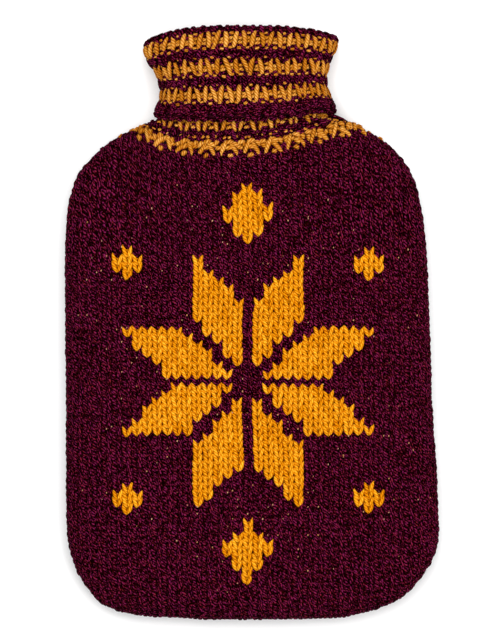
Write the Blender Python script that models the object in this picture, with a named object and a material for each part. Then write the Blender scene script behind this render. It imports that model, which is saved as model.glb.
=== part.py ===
"""A hand-knitted hot water bottle cover, at its real size in metres.

It lies on its back with its neck towards +Y and keeps the soft, filled shape that it has round a
two-litre bottle. Three knitted pieces make it: a front panel and a back panel, sewn together round
the sides and the bottom, and a ribbed collar that is picked up round the neck and turned down over
itself. The origin is on the surface that it lies on, under the middle of its plan.
"""

from collections import namedtuple

import bmesh
import bpy
import numpy as np

MM = 0.001

# Driving sizes, in millimetres.
PANEL_WALL = 3.0          # thickness of the stranded stocking stitch
PANEL_GAP = 0.5           # between the two panels along their seam
TUBE_GAP = 0.3            # between the panels' neck end and the collar's tube
EDGE_POWER = 2.2          # 2 is a quarter ellipse, more is squarer
CROWN_DROP = 2.2          # how far the front falls from its centre line to where it turns over
SLACK = 0.6               # height of the slow unevenness in the front
NECK_END_Y = 129.7        # where the panels end, under the turned-down collar

RIB_COUNT = 26            # knit-and-purl pairs round the collar
RIB_HEIGHT = 0.7          # half the height from a furrow to a ridge
COLLAR_WALL = 4.0         # the turned-down layer
COLLAR_LAYER_GAP = 1.0    # between the turned-down layer and the tube inside it
TUBE_WALL = 3.5           # the tube inside
COLLAR_WAIST = 97.5       # its narrowest width
COLLAR_DEPTH = 40.0       # from the surface it lies on to its front
COLLAR_PRESS = 2.0        # how far its round back is pressed flat
COLLAR_HALF_DEPTH = (COLLAR_DEPTH + COLLAR_PRESS) / 2
COLLAR_POWER = 2.6        # of the superellipse of its section
COLLAR_EDGE_Y = 117.9     # free edge of the turned-down layer, at the middle of the front
COLLAR_TOP_Y = 174.5      # crest of the top fold, at its highest

PANEL_ROWS = 40
PANEL_COLUMNS = 20
POINTS_PER_RIB = 4

# Sections of the two panels from the bottom edge to the neck. left and right are where a section meets
# the side seams, back and front are the heights of the underside and of the crown, seam is the seam's,
# and turn is the plan width over which a panel curves round to the seam.
Section = namedtuple("Section", "y left right back seam front turn")
PANEL_SECTIONS = (
    Section(-174.5, -24.0, 5.0, 0.0, 13.2, 30.0, 21.0),
    Section(-173.6, -39.0, 46.0, 0.0, 13.2, 30.2, 21.0),
    Section(-171.3, -71.0, 62.5, 0.0, 13.2, 30.6, 21.0),
    Section(-168.0, -82.3, 74.0, 0.0, 13.5, 31.0, 21.0),
    Section(-163.4, -89.9, 84.4, 0.0, 13.8, 31.4, 21.0),
    Section(-156.9, -95.5, 93.2, 0.0, 14.0, 32.0, 21.0),
    Section(-148.7, -101.1, 100.0, 0.0, 14.3, 32.6, 21.0),
    Section(-139.4, -104.8, 106.0, 0.0, 14.5, 33.2, 21.0),
    Section(-127.7, -107.6, 109.2, 0.0, 14.6, 33.6, 21.0),
    Section(-104.3, -108.6, 109.0, 0.0, 14.8, 34.0, 21.0),
    Section(-56.3, -108.8, 106.2, 0.0, 15.0, 34.6, 21.0),
    Section(0.0, -109.3, 104.3, 0.0, 15.0, 35.0, 21.0),
    Section(47.8, -109.2, 101.6, 0.0, 15.2, 35.0, 21.0),
    Section(65.4, -108.0, 99.6, 0.0, 15.5, 34.8, 21.0),
    Section(79.4, -104.6, 96.3, 0.0, 16.0, 34.6, 21.0),
    Section(88.8, -99.9, 92.6, 0.0, 16.5, 34.5, 21.0),
    Section(95.8, -94.0, 87.8, 0.4, 17.0, 34.4, 21.5),
    Section(102.8, -86.6, 81.4, 1.8, 17.6, 34.4, 22.5),
    Section(108.7, -77.4, 72.9, 3.4, 18.2, 34.5, 24.5),
    Section(114.2, -67.0, 63.6, 4.7, 18.8, 34.6, 27.5),
    Section(118.4, -59.6, 54.6, 5.1, 19.2, 34.7, 30.5),
    Section(121.6, -52.9, 47.4, 5.2, 19.4, 34.8, 33.0),
    Section(124.6, -49.9, 42.6, 5.2, 19.5, 34.8, 34.0),
    Section(NECK_END_Y, -48.9, 41.7, 5.2, 19.5, 34.8, 34.0),
)

# Plan outline of the turned-down collar: narrow at the waist and wider at both ends.
CollarSection = namedtuple("CollarSection", "y left right")
COLLAR_SECTIONS = (
    CollarSection(118.0, -58.6, 51.0),
    CollarSection(121.5, -57.6, 50.2),
    CollarSection(126.2, -55.4, 48.7),
    CollarSection(131.0, -53.7, 46.2),
    CollarSection(135.6, -53.4, 44.0),
    CollarSection(140.3, -54.5, 43.4),
    CollarSection(145.0, -56.1, 43.7),
    CollarSection(149.7, -59.1, 45.2),
    CollarSection(154.4, -61.9, 47.0),
    CollarSection(159.0, -63.2, 48.8),
    CollarSection(163.0, -63.4, 50.2),
    CollarSection(175.0, -63.4, 50.8),
)

# How far the free edge and the top fold of the collar lie off their middle height at the two sides.
EDGE_RISE_LEFT = 4.8
EDGE_RISE_RIGHT = 7.4
TOP_DROP_LEFT = 8.0
TOP_DROP_RIGHT = 5.0

BURGUNDY = (0.075, 0.008, 0.026, 1.0)
GOLD = (0.85, 0.36, 0.012, 1.0)


def curve_through(knots, values, at):
    """Values of a smooth curve that passes through each row of values at its knot."""
    slopes = np.gradient(values, knots, axis=0)
    index = np.clip(np.searchsorted(knots, at, side="right") - 1, 0, len(knots) - 2)
    step = (knots[index + 1] - knots[index])[:, None]
    s = (at[:, None] - knots[index][:, None]) / step
    return (
        (2 * s**3 - 3 * s**2 + 1) * values[index]
        + (s**3 - 2 * s**2 + s) * step * slopes[index]
        + (3 * s**2 - 2 * s**3) * values[index + 1]
        + (s**3 - s**2) * step * slopes[index + 1]
    )


def panel_stations(count):
    """The panels' sections, resampled evenly along their outline."""
    rows = np.array(PANEL_SECTIONS)
    left_run = np.hypot(np.diff(rows[:, 0]), np.diff(rows[:, 1]))
    right_run = np.hypot(np.diff(rows[:, 0]), np.diff(rows[:, 2]))
    along = np.concatenate([[0.0], np.cumsum((left_run + right_run) / 2)])
    return curve_through(along, rows, np.linspace(0.0, along[-1], count))


FINE = panel_stations(241)
SEAM_LINE = np.concatenate([FINE[::-1, [1, 0]], FINE[:, [2, 0]]])


def distance_to_seam(x, y):
    """Plan distance from each point to the side and bottom seams."""
    start, run = SEAM_LINE[:-1], np.diff(SEAM_LINE, axis=0)
    off = np.stack([x.ravel(), y.ravel()], axis=1)[:, None] - start
    share = np.clip((off * run).sum(2) / (run**2).sum(1), 0.0, 1.0)
    nearest = np.linalg.norm(off - share[..., None] * run, axis=2).min(1)
    return nearest.reshape(x.shape)


def panel_height(x, y, is_front):
    """Height of a panel's outer face over a plan point."""
    section = Section(y, *(np.interp(y, FINE[:, 0], FINE[:, column]) for column in range(1, 7)))
    inward = np.clip(distance_to_seam(x, y) / section.turn, 0.0, 1.0)
    rise = (1 - (1 - inward) ** EDGE_POWER) ** (1 / EDGE_POWER)
    if not is_front:
        start = section.seam - PANEL_GAP / 2
        return start - rise * (start - np.maximum(section.back, 0.0))
    start = section.seam + PANEL_GAP / 2
    across = (2 * x - section.left - section.right) / (section.right - section.left)
    slack = SLACK * np.sin(x / 29 + 0.7) * np.sin(y / 37 + 1.1)
    return start + rise * (section.front - CROWN_DROP * across**2 + slack - start)


def panel_normals(x, y, is_front):
    """Unit normals of a panel's outer face, and level ones where it ends on the seam."""
    nudge = 0.02
    slope_x = panel_height(x + nudge, y, is_front) - panel_height(x - nudge, y, is_front)
    slope_y = panel_height(x, y + nudge, is_front) - panel_height(x, y - nudge, is_front)
    up = 1.0 if is_front else -1.0
    normals = np.stack([-up * slope_x, -up * slope_y, np.full(x.shape, up * 2 * nudge)], axis=2)
    for column, outward in ((0, -1.0), (-1, 1.0)):
        run = np.gradient(np.stack([x[:, column], y[:, column]], axis=1), axis=0)
        normals[:, column] = np.stack([outward * run[:, 1], -outward * run[:, 0], 0 * run[:, 0]], axis=1)
    normals[0] = (0.0, -1.0, 0.0)
    return normals / np.linalg.norm(normals, axis=2, keepdims=True)


def closed_mesh(name, points, faces, colour):
    """One object with its own yarn material, its faces turned outwards."""
    mesh = bpy.data.meshes.new(name)
    mesh.from_pydata((points * MM).tolist(), [], faces)
    work = bmesh.new()
    work.from_mesh(mesh)
    bmesh.ops.recalc_face_normals(work, faces=work.faces)
    work.to_mesh(mesh)
    work.free()
    mesh.shade_smooth()
    mesh.set_sharp_from_angle(angle=np.radians(50))

    material = bpy.data.materials.new(name + "_yarn")
    material.use_nodes = True
    shader = material.node_tree.nodes["Principled BSDF"]
    shader.inputs["Base Color"].default_value = colour
    shader.inputs["Roughness"].default_value = 0.9
    shader.inputs["Metallic"].default_value = 0.0
    mesh.materials.append(material)

    obj = bpy.data.objects.new(name, mesh)
    bpy.context.scene.collection.objects.link(obj)
    return obj


def grid_faces(rows, columns, first=0):
    """Quads of a grid whose points are numbered row by row from first."""
    index = first + np.arange(rows * columns).reshape(rows, columns)
    corners = (index[:-1, :-1], index[:-1, 1:], index[1:, 1:], index[1:, :-1])
    return np.stack(corners, axis=2).reshape(-1, 4).tolist()


def make_panel(name, is_front):
    """A knitted panel: a shell that bends over to the seam, open at the neck and towards the other panel."""
    stations = panel_stations(PANEL_ROWS)
    turn = np.linspace(-np.pi / 2, np.pi / 2, PANEL_COLUMNS)
    share = (1 + np.sin(turn)) / 2
    x = stations[:, 1:2] + share * (stations[:, 2:3] - stations[:, 1:2])
    y = np.repeat(stations[:, 0:1], PANEL_COLUMNS, axis=1)

    outer = np.stack([x, y, panel_height(x, y, is_front)], axis=2)
    inner = outer - PANEL_WALL * panel_normals(x, y, is_front)
    inner[-1, :, 1] = NECK_END_Y

    count = PANEL_ROWS * PANEL_COLUMNS
    faces = grid_faces(PANEL_ROWS, PANEL_COLUMNS) + grid_faces(PANEL_ROWS, PANEL_COLUMNS, count)
    index = np.arange(count).reshape(PANEL_ROWS, PANEL_COLUMNS)
    border = np.concatenate([index[0, :-1], index[:-1, -1], index[-1, :0:-1], index[:0:-1, 0]]).tolist()
    for here, there in zip(border, border[1:] + border[:1]):
        faces.append((here, there, there + count, here + count))
    points = np.concatenate([outer.reshape(-1, 3), inner.reshape(-1, 3)])
    return closed_mesh(name, points, faces, BURGUNDY)


def superellipse(angle, half_width, half_depth):
    """Plan offset and height of points round the collar's section."""
    power = 2 / COLLAR_POWER
    x = half_width * np.sign(np.cos(angle)) * np.abs(np.cos(angle)) ** power
    z = half_depth * np.sign(np.sin(angle)) * np.abs(np.sin(angle)) ** power
    return x, z


def even_turns(count):
    """Angles that space points evenly round the collar's waist."""
    angle = np.linspace(0.0, 2 * np.pi, 2001)
    x, z = superellipse(angle, COLLAR_WAIST / 2, COLLAR_HALF_DEPTH)
    along = np.concatenate([[0.0], np.cumsum(np.hypot(np.diff(x), np.diff(z)))])
    return np.interp(np.arange(count) / count * along[-1], along, angle)


def collar_profile():
    """The folded rib's closed section, as (leg, share, inset, lift) from the free edge up and back.

    leg says which ends share runs between: 0 is the turned-down layer, from its free edge to the fold,
    and 1 is the tube inside, from its end over the panels to the fold. inset is the distance in from
    the outline, and lift is added to the height.
    """
    tube_face = COLLAR_WALL + COLLAR_LAYER_GAP
    total = tube_face + TUBE_WALL
    slot_mid = COLLAR_WALL + COLLAR_LAYER_GAP / 2
    edge_radius = COLLAR_WALL / 2
    profile = [(0, share, 0.0, 0.0) for share in np.linspace(0.0, 1.0, 8)]
    for angle in np.linspace(0.0, np.pi, 7)[1:-1]:
        profile.append((0, 1.0, total / 2 * (1 - np.cos(angle)), total / 2 * np.sin(angle)))
    profile += [(1, share, total, 0.0) for share in np.linspace(1.0, 0.0, 5)]
    profile += [(1, share, tube_face, 0.0) for share in np.linspace(0.0, 1.0, 6)]
    profile.append((0, 1.0, slot_mid, COLLAR_LAYER_GAP / 2))
    profile += [(0, share, COLLAR_WALL, 0.0) for share in np.linspace(1.0, 0.0, 7)]
    for angle in (0.3 * np.pi, 0.7 * np.pi):
        profile.append((0, 0.0, edge_radius * (1 + np.cos(angle)), -edge_radius * np.sin(angle)))
    return profile


def side_share(angle, left_amount, right_amount):
    """An amount that is nothing at the middle of the front and back, and full at the two sides."""
    amount = np.where(np.cos(angle) < 0, left_amount, right_amount)
    return amount * np.abs(np.cos(angle)) ** 2.4


def make_collar():
    """The ribbed polo collar: a tube that rises from the neck and is turned down over itself."""
    angle = even_turns(RIB_COUNT * POINTS_PER_RIB)
    ridge = RIB_HEIGHT * np.cos(2 * np.pi * np.arange(len(angle)) / POINTS_PER_RIB)
    outline = np.array(COLLAR_SECTIONS)
    fold_radius = (COLLAR_WALL + COLLAR_LAYER_GAP + TUBE_WALL) / 2
    mid_z = COLLAR_DEPTH - COLLAR_HALF_DEPTH

    edge_y = COLLAR_EDGE_Y + COLLAR_WALL / 2 + side_share(angle, EDGE_RISE_LEFT, EDGE_RISE_RIGHT)
    fold_y = COLLAR_TOP_Y - fold_radius - side_share(angle, TOP_DROP_LEFT, TOP_DROP_RIGHT)
    start_y = np.full(len(angle), NECK_END_Y + TUBE_GAP)
    loops = []
    for leg, share, inset, lift in collar_profile():
        low = start_y if leg else edge_y
        y = low + share * (fold_y - low)
        left, right = (np.interp(y, outline[:, 0], outline[:, column]) for column in (1, 2))
        depth_in = inset - (ridge if inset == 0.0 else 0.0)
        x, z = superellipse(angle, (right - left) / 2 - depth_in, COLLAR_HALF_DEPTH - depth_in)
        z = np.maximum(mid_z + z, inset)
        loops.append(np.stack([(left + right) / 2 + x, y + lift, z], axis=1))

    points = np.array(loops)
    index = np.arange(points.shape[0] * points.shape[1]).reshape(points.shape[:2])
    right_of, above = np.roll(index, -1, axis=1), np.roll(index, -1, axis=0)
    faces = np.stack([index, right_of, np.roll(above, -1, axis=1), above], axis=2).reshape(-1, 4)
    return closed_mesh("collar", points.reshape(-1, 3), faces.tolist(), GOLD)


def main():
    for obj in list(bpy.data.objects):
        bpy.data.objects.remove(obj, do_unlink=True)
    make_panel("front_panel", is_front=True)
    make_panel("back_panel", is_front=False)
    make_collar()


main()
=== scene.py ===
"""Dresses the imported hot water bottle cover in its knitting.

Every stitch is laid on a flat fabric first, where across, along and above are its own directions, and
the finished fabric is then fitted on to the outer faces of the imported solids. Lengths are in
millimetres, and become metres where they go into a mesh, a node tree, the stage or a property.
"""

from collections import namedtuple

import bpy
import numpy as np
from bpy.props import FloatProperty, FloatVectorProperty, IntProperty, PointerProperty
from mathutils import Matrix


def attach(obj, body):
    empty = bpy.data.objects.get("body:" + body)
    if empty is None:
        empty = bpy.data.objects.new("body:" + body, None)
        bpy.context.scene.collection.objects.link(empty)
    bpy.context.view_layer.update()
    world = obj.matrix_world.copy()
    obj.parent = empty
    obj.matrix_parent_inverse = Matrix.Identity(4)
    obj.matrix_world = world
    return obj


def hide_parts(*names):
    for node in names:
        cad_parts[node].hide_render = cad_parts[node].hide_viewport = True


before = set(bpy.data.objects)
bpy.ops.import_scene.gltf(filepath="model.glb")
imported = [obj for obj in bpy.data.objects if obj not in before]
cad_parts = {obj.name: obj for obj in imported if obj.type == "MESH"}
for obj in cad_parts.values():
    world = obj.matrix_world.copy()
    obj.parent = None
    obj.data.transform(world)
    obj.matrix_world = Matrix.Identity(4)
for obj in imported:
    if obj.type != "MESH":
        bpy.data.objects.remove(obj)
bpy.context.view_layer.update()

bl_info = {
    "name": "Knitted Bottle Cover",
    "version": (1, 0, 0),
    "blender": (4, 5, 0),
    "location": "3D View > Sidebar > Knitting",
    "description": "Knits a hot water bottle cover stitch by stitch round its solid model",
    "category": "Object",
}

MM = 0.001
BODY = "root"

# ---------------------------------------------------------------------------------------------------
# The forms that the knitting is fitted on. Their sizes are the solids' own, but for the rise of the
# collar's free edge and the two settles, which are the knitting's.

PANEL_WALL = 3.0
PANEL_GAP = 0.5
EDGE_POWER = 2.2
CROWN_DROP = 2.2
SLACK = 0.6
NECK_END_Y = 129.7

COLLAR_WALL = 4.0
COLLAR_LAYER_GAP = 1.0
TUBE_WALL = 3.5
TUBE_START_Y = 130.0
COLLAR_WAIST = 97.5
COLLAR_HALF_DEPTH = 21.0
COLLAR_MID_Z = 19.0
COLLAR_POWER = 2.6
COLLAR_EDGE_Y = 117.9
COLLAR_TOP_Y = 174.5
EDGE_RISE_LEFT = 3.4
EDGE_RISE_RIGHT = 5.2
EDGE_RISEN = 0.75          # share of the way to the right side where its edge has fully risen
TOP_DROP_LEFT = 8.0
TOP_DROP_RIGHT = 5.0
LEFT_BEND, RIGHT_BEND, TOP_BEND = 8, 1.5, 2.4  # powers of those curves: the higher, the later they bend
RIB_PAIRS = 26
CREST_SETTLE = 1.7         # how much lower the knitting's fold lies than the solid's, for its bumps
EDGE_SETTLE = 1.3          # and how much lower its free edge lies

# y, left, right, back, seam, front and turn of the panels' sections, from the bottom to the neck.
PANEL_SECTIONS = np.array([
    (-174.5, -24.0, 5.0, 0.0, 13.2, 30.0, 21.0),
    (-173.6, -39.0, 46.0, 0.0, 13.2, 30.2, 21.0),
    (-171.3, -71.0, 62.5, 0.0, 13.2, 30.6, 21.0),
    (-168.0, -82.3, 74.0, 0.0, 13.5, 31.0, 21.0),
    (-163.4, -89.9, 84.4, 0.0, 13.8, 31.4, 21.0),
    (-156.9, -95.5, 93.2, 0.0, 14.0, 32.0, 21.0),
    (-148.7, -101.1, 100.0, 0.0, 14.3, 32.6, 21.0),
    (-139.4, -104.8, 106.0, 0.0, 14.5, 33.2, 21.0),
    (-127.7, -107.6, 109.2, 0.0, 14.6, 33.6, 21.0),
    (-104.3, -108.6, 109.0, 0.0, 14.8, 34.0, 21.0),
    (-56.3, -108.8, 106.2, 0.0, 15.0, 34.6, 21.0),
    (0.0, -109.3, 104.3, 0.0, 15.0, 35.0, 21.0),
    (47.8, -109.2, 101.6, 0.0, 15.2, 35.0, 21.0),
    (65.4, -108.0, 99.6, 0.0, 15.5, 34.8, 21.0),
    (79.4, -104.6, 96.3, 0.0, 16.0, 34.6, 21.0),
    (88.8, -99.9, 92.6, 0.0, 16.5, 34.5, 21.0),
    (95.8, -94.0, 87.8, 0.4, 17.0, 34.4, 21.5),
    (102.8, -86.6, 81.4, 1.8, 17.6, 34.4, 22.5),
    (108.7, -77.4, 72.9, 3.4, 18.2, 34.5, 24.5),
    (114.2, -67.0, 63.6, 4.7, 18.8, 34.6, 27.5),
    (118.4, -59.6, 54.6, 5.1, 19.2, 34.7, 30.5),
    (121.6, -52.9, 47.4, 5.2, 19.4, 34.8, 33.0),
    (124.6, -49.9, 42.6, 5.2, 19.5, 34.8, 34.0),
    (NECK_END_Y, -48.9, 41.7, 5.2, 19.5, 34.8, 34.0),
])

# y, left and right of the collar's outline.
COLLAR_SECTIONS = np.array([
    (118.0, -58.6, 51.0), (121.5, -57.6, 50.2), (126.2, -55.4, 48.7), (131.0, -53.7, 46.2),
    (135.6, -53.4, 44.0), (140.3, -54.5, 43.4), (145.0, -56.1, 43.7), (149.7, -59.1, 45.2),
    (154.4, -61.9, 47.0), (159.0, -63.2, 48.8), (163.0, -63.4, 50.2), (175.0, -63.4, 50.8),
])

Y, LEFT, RIGHT, BACK, SEAM, FRONT, TURN = range(7)
MAP_STEP = 2.0             # spacing of the grid that a fabric is fitted through
CHUNK = 4000               # points measured against the seam at a time
ARC_STEPS = 64
ON_SEAM = 0.05             # a point nearer than this to the seam takes the seam's own way in
TURN_STEPS = 2001          # points round the collar that its girth is measured on
JUST_INSIDE = 1.001        # keeps a reading within the last square of its grid


def wave(at, length, start):
    """A slow wave between -1 and 1, whose crests are two pi lengths apart."""
    return np.sin(at / length + start)


def curve_through(knots, values, at):
    """Values of a smooth curve that passes through each row of values at its knot."""
    slopes = np.gradient(values, knots, axis=0)
    index = np.clip(np.searchsorted(knots, at, side="right") - 1, 0, len(knots) - 2)
    step = (knots[index + 1] - knots[index])[:, None]
    s = (at[:, None] - knots[index][:, None]) / step
    return (
        (2 * s**3 - 3 * s**2 + 1) * values[index]
        + (s**3 - 2 * s**2 + s) * step * slopes[index]
        + (3 * s**2 - 2 * s**3) * values[index + 1]
        + (s**3 - s**2) * step * slopes[index + 1]
    )


def panel_stations(count):
    """The panels' sections, resampled evenly along their outline."""
    rows = PANEL_SECTIONS
    left_run = np.hypot(np.diff(rows[:, Y]), np.diff(rows[:, LEFT]))
    right_run = np.hypot(np.diff(rows[:, Y]), np.diff(rows[:, RIGHT]))
    along = np.concatenate([[0.0], np.cumsum((left_run + right_run) / 2)])
    return curve_through(along, rows, np.linspace(0.0, along[-1], count))


FINE_COUNT = 241
FINE = panel_stations(FINE_COUNT)
SEAM_ROWS = np.concatenate([FINE[::-1], FINE])
SEAM_LINE = np.concatenate([FINE[::-1, [LEFT, Y]], FINE[:, [RIGHT, Y]]])


def section_at(y):
    """The panels' section values over each y, one array for each column."""
    return [np.interp(y, FINE[:, Y], column) for column in FINE.T]


def nearest_on_seam(plan):
    """For each plan point: the seam point next to it, the way in from it, the depth inside, the station."""
    start, run = SEAM_LINE[:-1], np.diff(SEAM_LINE, axis=0)
    length = np.hypot(run[:, 0], run[:, 1])
    inward = np.stack([-run[:, 1], run[:, 0]], axis=1) / length[:, None]
    feet, ways, depths, stations = [], [], [], []
    for first in range(0, len(plan), CHUNK):
        points = plan[first:first + CHUNK]
        off = points[:, None] - start
        share = np.clip((off * run).sum(2) / length**2, 0.0, 1.0)
        gap = off - share[..., None] * run
        best = (gap**2).sum(2).argmin(1)
        gap = gap[np.arange(len(points)), best]
        reach = np.linalg.norm(gap, axis=1)[:, None]
        side = np.where((gap * inward[best]).sum(1) < 0, -1.0, 1.0)[:, None]
        straight_in = side * gap / np.maximum(reach, ON_SEAM)
        feet.append(points - gap)
        ways.append(np.where(reach > ON_SEAM, straight_in, inward[best]))
        depths.append((side * reach)[:, 0])
        stations.append(best)
    return tuple(np.concatenate(part) for part in (feet, ways, depths, stations))


def panel_height(x, y, rise, is_front):
    """Height of a panel's outer face over a plan point, where rise is 0 at the seam and 1 on the flat."""
    section = section_at(y)
    if not is_front:
        start = section[SEAM] - PANEL_GAP / 2
        return start - rise * (start - np.maximum(section[BACK], 0.0))
    start = section[SEAM] + PANEL_GAP / 2
    across = (2 * x - section[LEFT] - section[RIGHT]) / (section[RIGHT] - section[LEFT])
    slack = SLACK * wave(x, length=29, start=0.7) * wave(y, length=37, start=1.1)
    return start + rise * (section[FRONT] - CROWN_DROP * np.clip(across, -1, 1)**2 + slack - start)


def edge_rise(depth, turn):
    """How far up its turned edge a panel is at a plan depth inside the seam, from 0 to 1."""
    inward = np.clip(depth / turn, 0.0, 1.0)
    return (1 - (1 - inward) ** EDGE_POWER) ** (1 / EDGE_POWER)


def superellipse(angle, half_width, half_depth):
    """Plan offset and height of points round the collar's section."""
    power = 2 / COLLAR_POWER
    x = half_width * np.sign(np.cos(angle)) * np.abs(np.cos(angle)) ** power
    z = half_depth * np.sign(np.sin(angle)) * np.abs(np.sin(angle)) ** power
    return x, z


def collar_turns():
    """Angles round the collar and the length along its waist at each."""
    angle = np.linspace(0.0, 2 * np.pi, TURN_STEPS)
    x, z = superellipse(angle, COLLAR_WAIST / 2, COLLAR_HALF_DEPTH)
    along = np.concatenate([[0.0], np.cumsum(np.hypot(np.diff(x), np.diff(z)))])
    return angle, along


FOLD_RADIUS = (COLLAR_WALL + COLLAR_LAYER_GAP + TUBE_WALL) / 2
EDGE_RADIUS = COLLAR_WALL / 2
COLLAR_FRONT_RUN = COLLAR_TOP_Y - CREST_SETTLE - FOLD_RADIUS - COLLAR_EDGE_Y + EDGE_SETTLE - EDGE_RADIUS
COLLAR_GIRTH = collar_turns()[1][-1]


def collar_point(angle, share, inset, lift, from_tube):
    """Points of the collar: share runs up to the fold, inset is in from the outline, lift is added."""
    off = np.cos(angle)
    rise = np.where(off < 0, EDGE_RISE_LEFT * off**LEFT_BEND,
                    EDGE_RISE_RIGHT * np.clip(off / EDGE_RISEN, 0.0, 1.0) ** RIGHT_BEND)
    drop = np.where(off < 0, TOP_DROP_LEFT, TOP_DROP_RIGHT) * np.abs(off) ** TOP_BEND
    edge_y = COLLAR_EDGE_Y - EDGE_SETTLE + EDGE_RADIUS + rise
    fold_y = COLLAR_TOP_Y - CREST_SETTLE - FOLD_RADIUS - drop
    low = np.where(from_tube, TUBE_START_Y, edge_y)
    y = low + share * (fold_y - low)
    left, right = (np.interp(y, COLLAR_SECTIONS[:, 0], COLLAR_SECTIONS[:, side]) for side in (1, 2))
    x, z = superellipse(angle, (right - left) / 2 - inset, COLLAR_HALF_DEPTH - inset)
    z = np.maximum(COLLAR_MID_Z + z, inset)
    return np.stack([(left + right) / 2 + x, y + lift, z], axis=-1)


# ---------------------------------------------------------------------------------------------------
# Fitting a flat fabric on to a form.

class FabricMap:
    """Where each point of a flat fabric lies on its form, read from a grid of fitted points."""

    def __init__(self, across, along, points, margin=None):
        self.across, self.along, self.points = across, along, points
        run_across = np.gradient(points, axis=1)
        run_along = np.gradient(points, axis=0)
        normals = np.cross(run_across, run_along)
        self.normals = normals / np.maximum(np.linalg.norm(normals, axis=2, keepdims=True), 1e-9)
        self.margin = margin

    def read(self, grid, across, along):
        """Values of a grid at fabric points, blended from the four grid points round each."""
        i = np.clip((along - self.along[0]) / MAP_STEP, 0, len(self.along) - JUST_INSIDE)
        j = np.clip((across - self.across[0]) / MAP_STEP, 0, len(self.across) - JUST_INSIDE)
        row, column = i.astype(int), j.astype(int)
        s, t = i - row, j - column
        if grid.ndim == 3:
            s, t = s[:, None], t[:, None]
        low = grid[row, column] * (1 - t) + grid[row, column + 1] * t
        high = grid[row + 1, column] * (1 - t) + grid[row + 1, column + 1] * t
        return low * (1 - s) + high * s

    def place(self, flat):
        """Points in space of fabric points given as across, along and above."""
        points = self.read(self.points, flat[:, 0], flat[:, 1])
        normals = self.read(self.normals, flat[:, 0], flat[:, 1])
        normals /= np.linalg.norm(normals, axis=1, keepdims=True)
        return points + normals * flat[:, 2:3]


BOW_FROM, BOW_TO = 30.0, 98.0          # the heights between which the bow sets in
BOW_MIDDLE = -18.0                     # where the rows hang lowest
BOW_LEFT, BOW_RIGHT = 1.02e-4, 0.0024  # how fast they rise: cubed on the left, squared on the right
BOW_WIDEST = (-72.0, 62.0)             # beyond these they rise no more


def row_bow(x, along):
    """How far a row rises at the sides: the rows bow towards the neck, and lie level further down."""
    s = np.clip((along - BOW_FROM) / (BOW_TO - BOW_FROM), 0.0, 1.0)
    off = np.clip(x, *BOW_WIDEST) - BOW_MIDDLE
    rise = np.where(off < 0, BOW_LEFT * np.abs(off) ** 3, BOW_RIGHT * off**2)
    return rise * s * s * (3 - 2 * s)


FABRIC_HALF_WIDTH = 130.0
FABRIC_ALONG = (-200.0, 136.0)
EDGE_DROP = 0.8 * CROWN_DROP           # how far the crown has fallen where the edge turns over


def grid_steps(first, last):
    """Places from first to last, one step of a map apart."""
    return np.arange(first, last + MAP_STEP, MAP_STEP)


def panel_map(is_front):
    """Fits flat knitting on a panel: it lies level on the flat and wraps round the edge to the seam."""
    across = grid_steps(-FABRIC_HALF_WIDTH, FABRIC_HALF_WIDTH)
    along = grid_steps(*FABRIC_ALONG)
    u, v = np.meshgrid(across, along)
    x = u if is_front else -u
    flat = np.stack([x.ravel(), (v + row_bow(x, v)).ravel()], axis=1)
    feet, ways, depth, station = nearest_on_seam(flat)
    rows = SEAM_ROWS[station]
    if is_front:
        height = rows[:, FRONT] - EDGE_DROP - rows[:, SEAM]
    else:
        height = rows[:, SEAM] - rows[:, BACK]

    # Lengths along the turned edge, from the seam up.
    sweep = np.linspace(0.0, np.pi / 2, ARC_STEPS)
    inward = 1 - np.cos(sweep) ** (2 / EDGE_POWER)
    rise = np.sin(sweep) ** (2 / EDGE_POWER)
    steps = np.hypot(np.outer(rows[:, TURN], np.diff(inward)), np.outer(height, np.diff(rise)))
    arc = np.concatenate([np.zeros((len(steps), 1)), np.cumsum(steps, axis=1)], axis=1)
    spare = arc[:, -1] - rows[:, TURN]
    margin = depth + spare

    index = np.clip((arc <= margin[:, None]).sum(1) - 1, 0, ARC_STEPS - 2)
    pick = np.arange(len(arc))
    s = np.clip((margin - arc[pick, index]) / (arc[pick, index + 1] - arc[pick, index]), 0.0, 1.0)
    turned = rows[:, TURN] * (inward[index] * (1 - s) + inward[index + 1] * s)
    up = rise[index] * (1 - s) + rise[index + 1] * s
    beyond = margin > arc[:, -1]
    plan = feet + ways * np.where(beyond, depth, turned)[:, None]
    z = panel_height(plan[:, 0], plan[:, 1], np.where(beyond, 1.0, up), is_front)
    past_seam = np.maximum(-margin, 0.0)
    z += np.where(is_front, -past_seam, past_seam)
    points = np.concatenate([plan, z[:, None]], axis=1).reshape(u.shape + (3,))
    return FabricMap(across, along, points, margin.reshape(u.shape))


COLLAR_WIDTHS = (97.5, 114.0)          # from its waist to its top
COLLAR_CROWDING = (0.13, -0.03)        # how much its columns spread in front there and crowd at the sides
COLLAR_WRAP = 12.0                     # how far its fabric is mapped past both ends of its round,
COLLAR_UNDER = 8.0                     # under its free edge
COLLAR_INSIDE = 38.0                   # and down inside, past the fold


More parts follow.
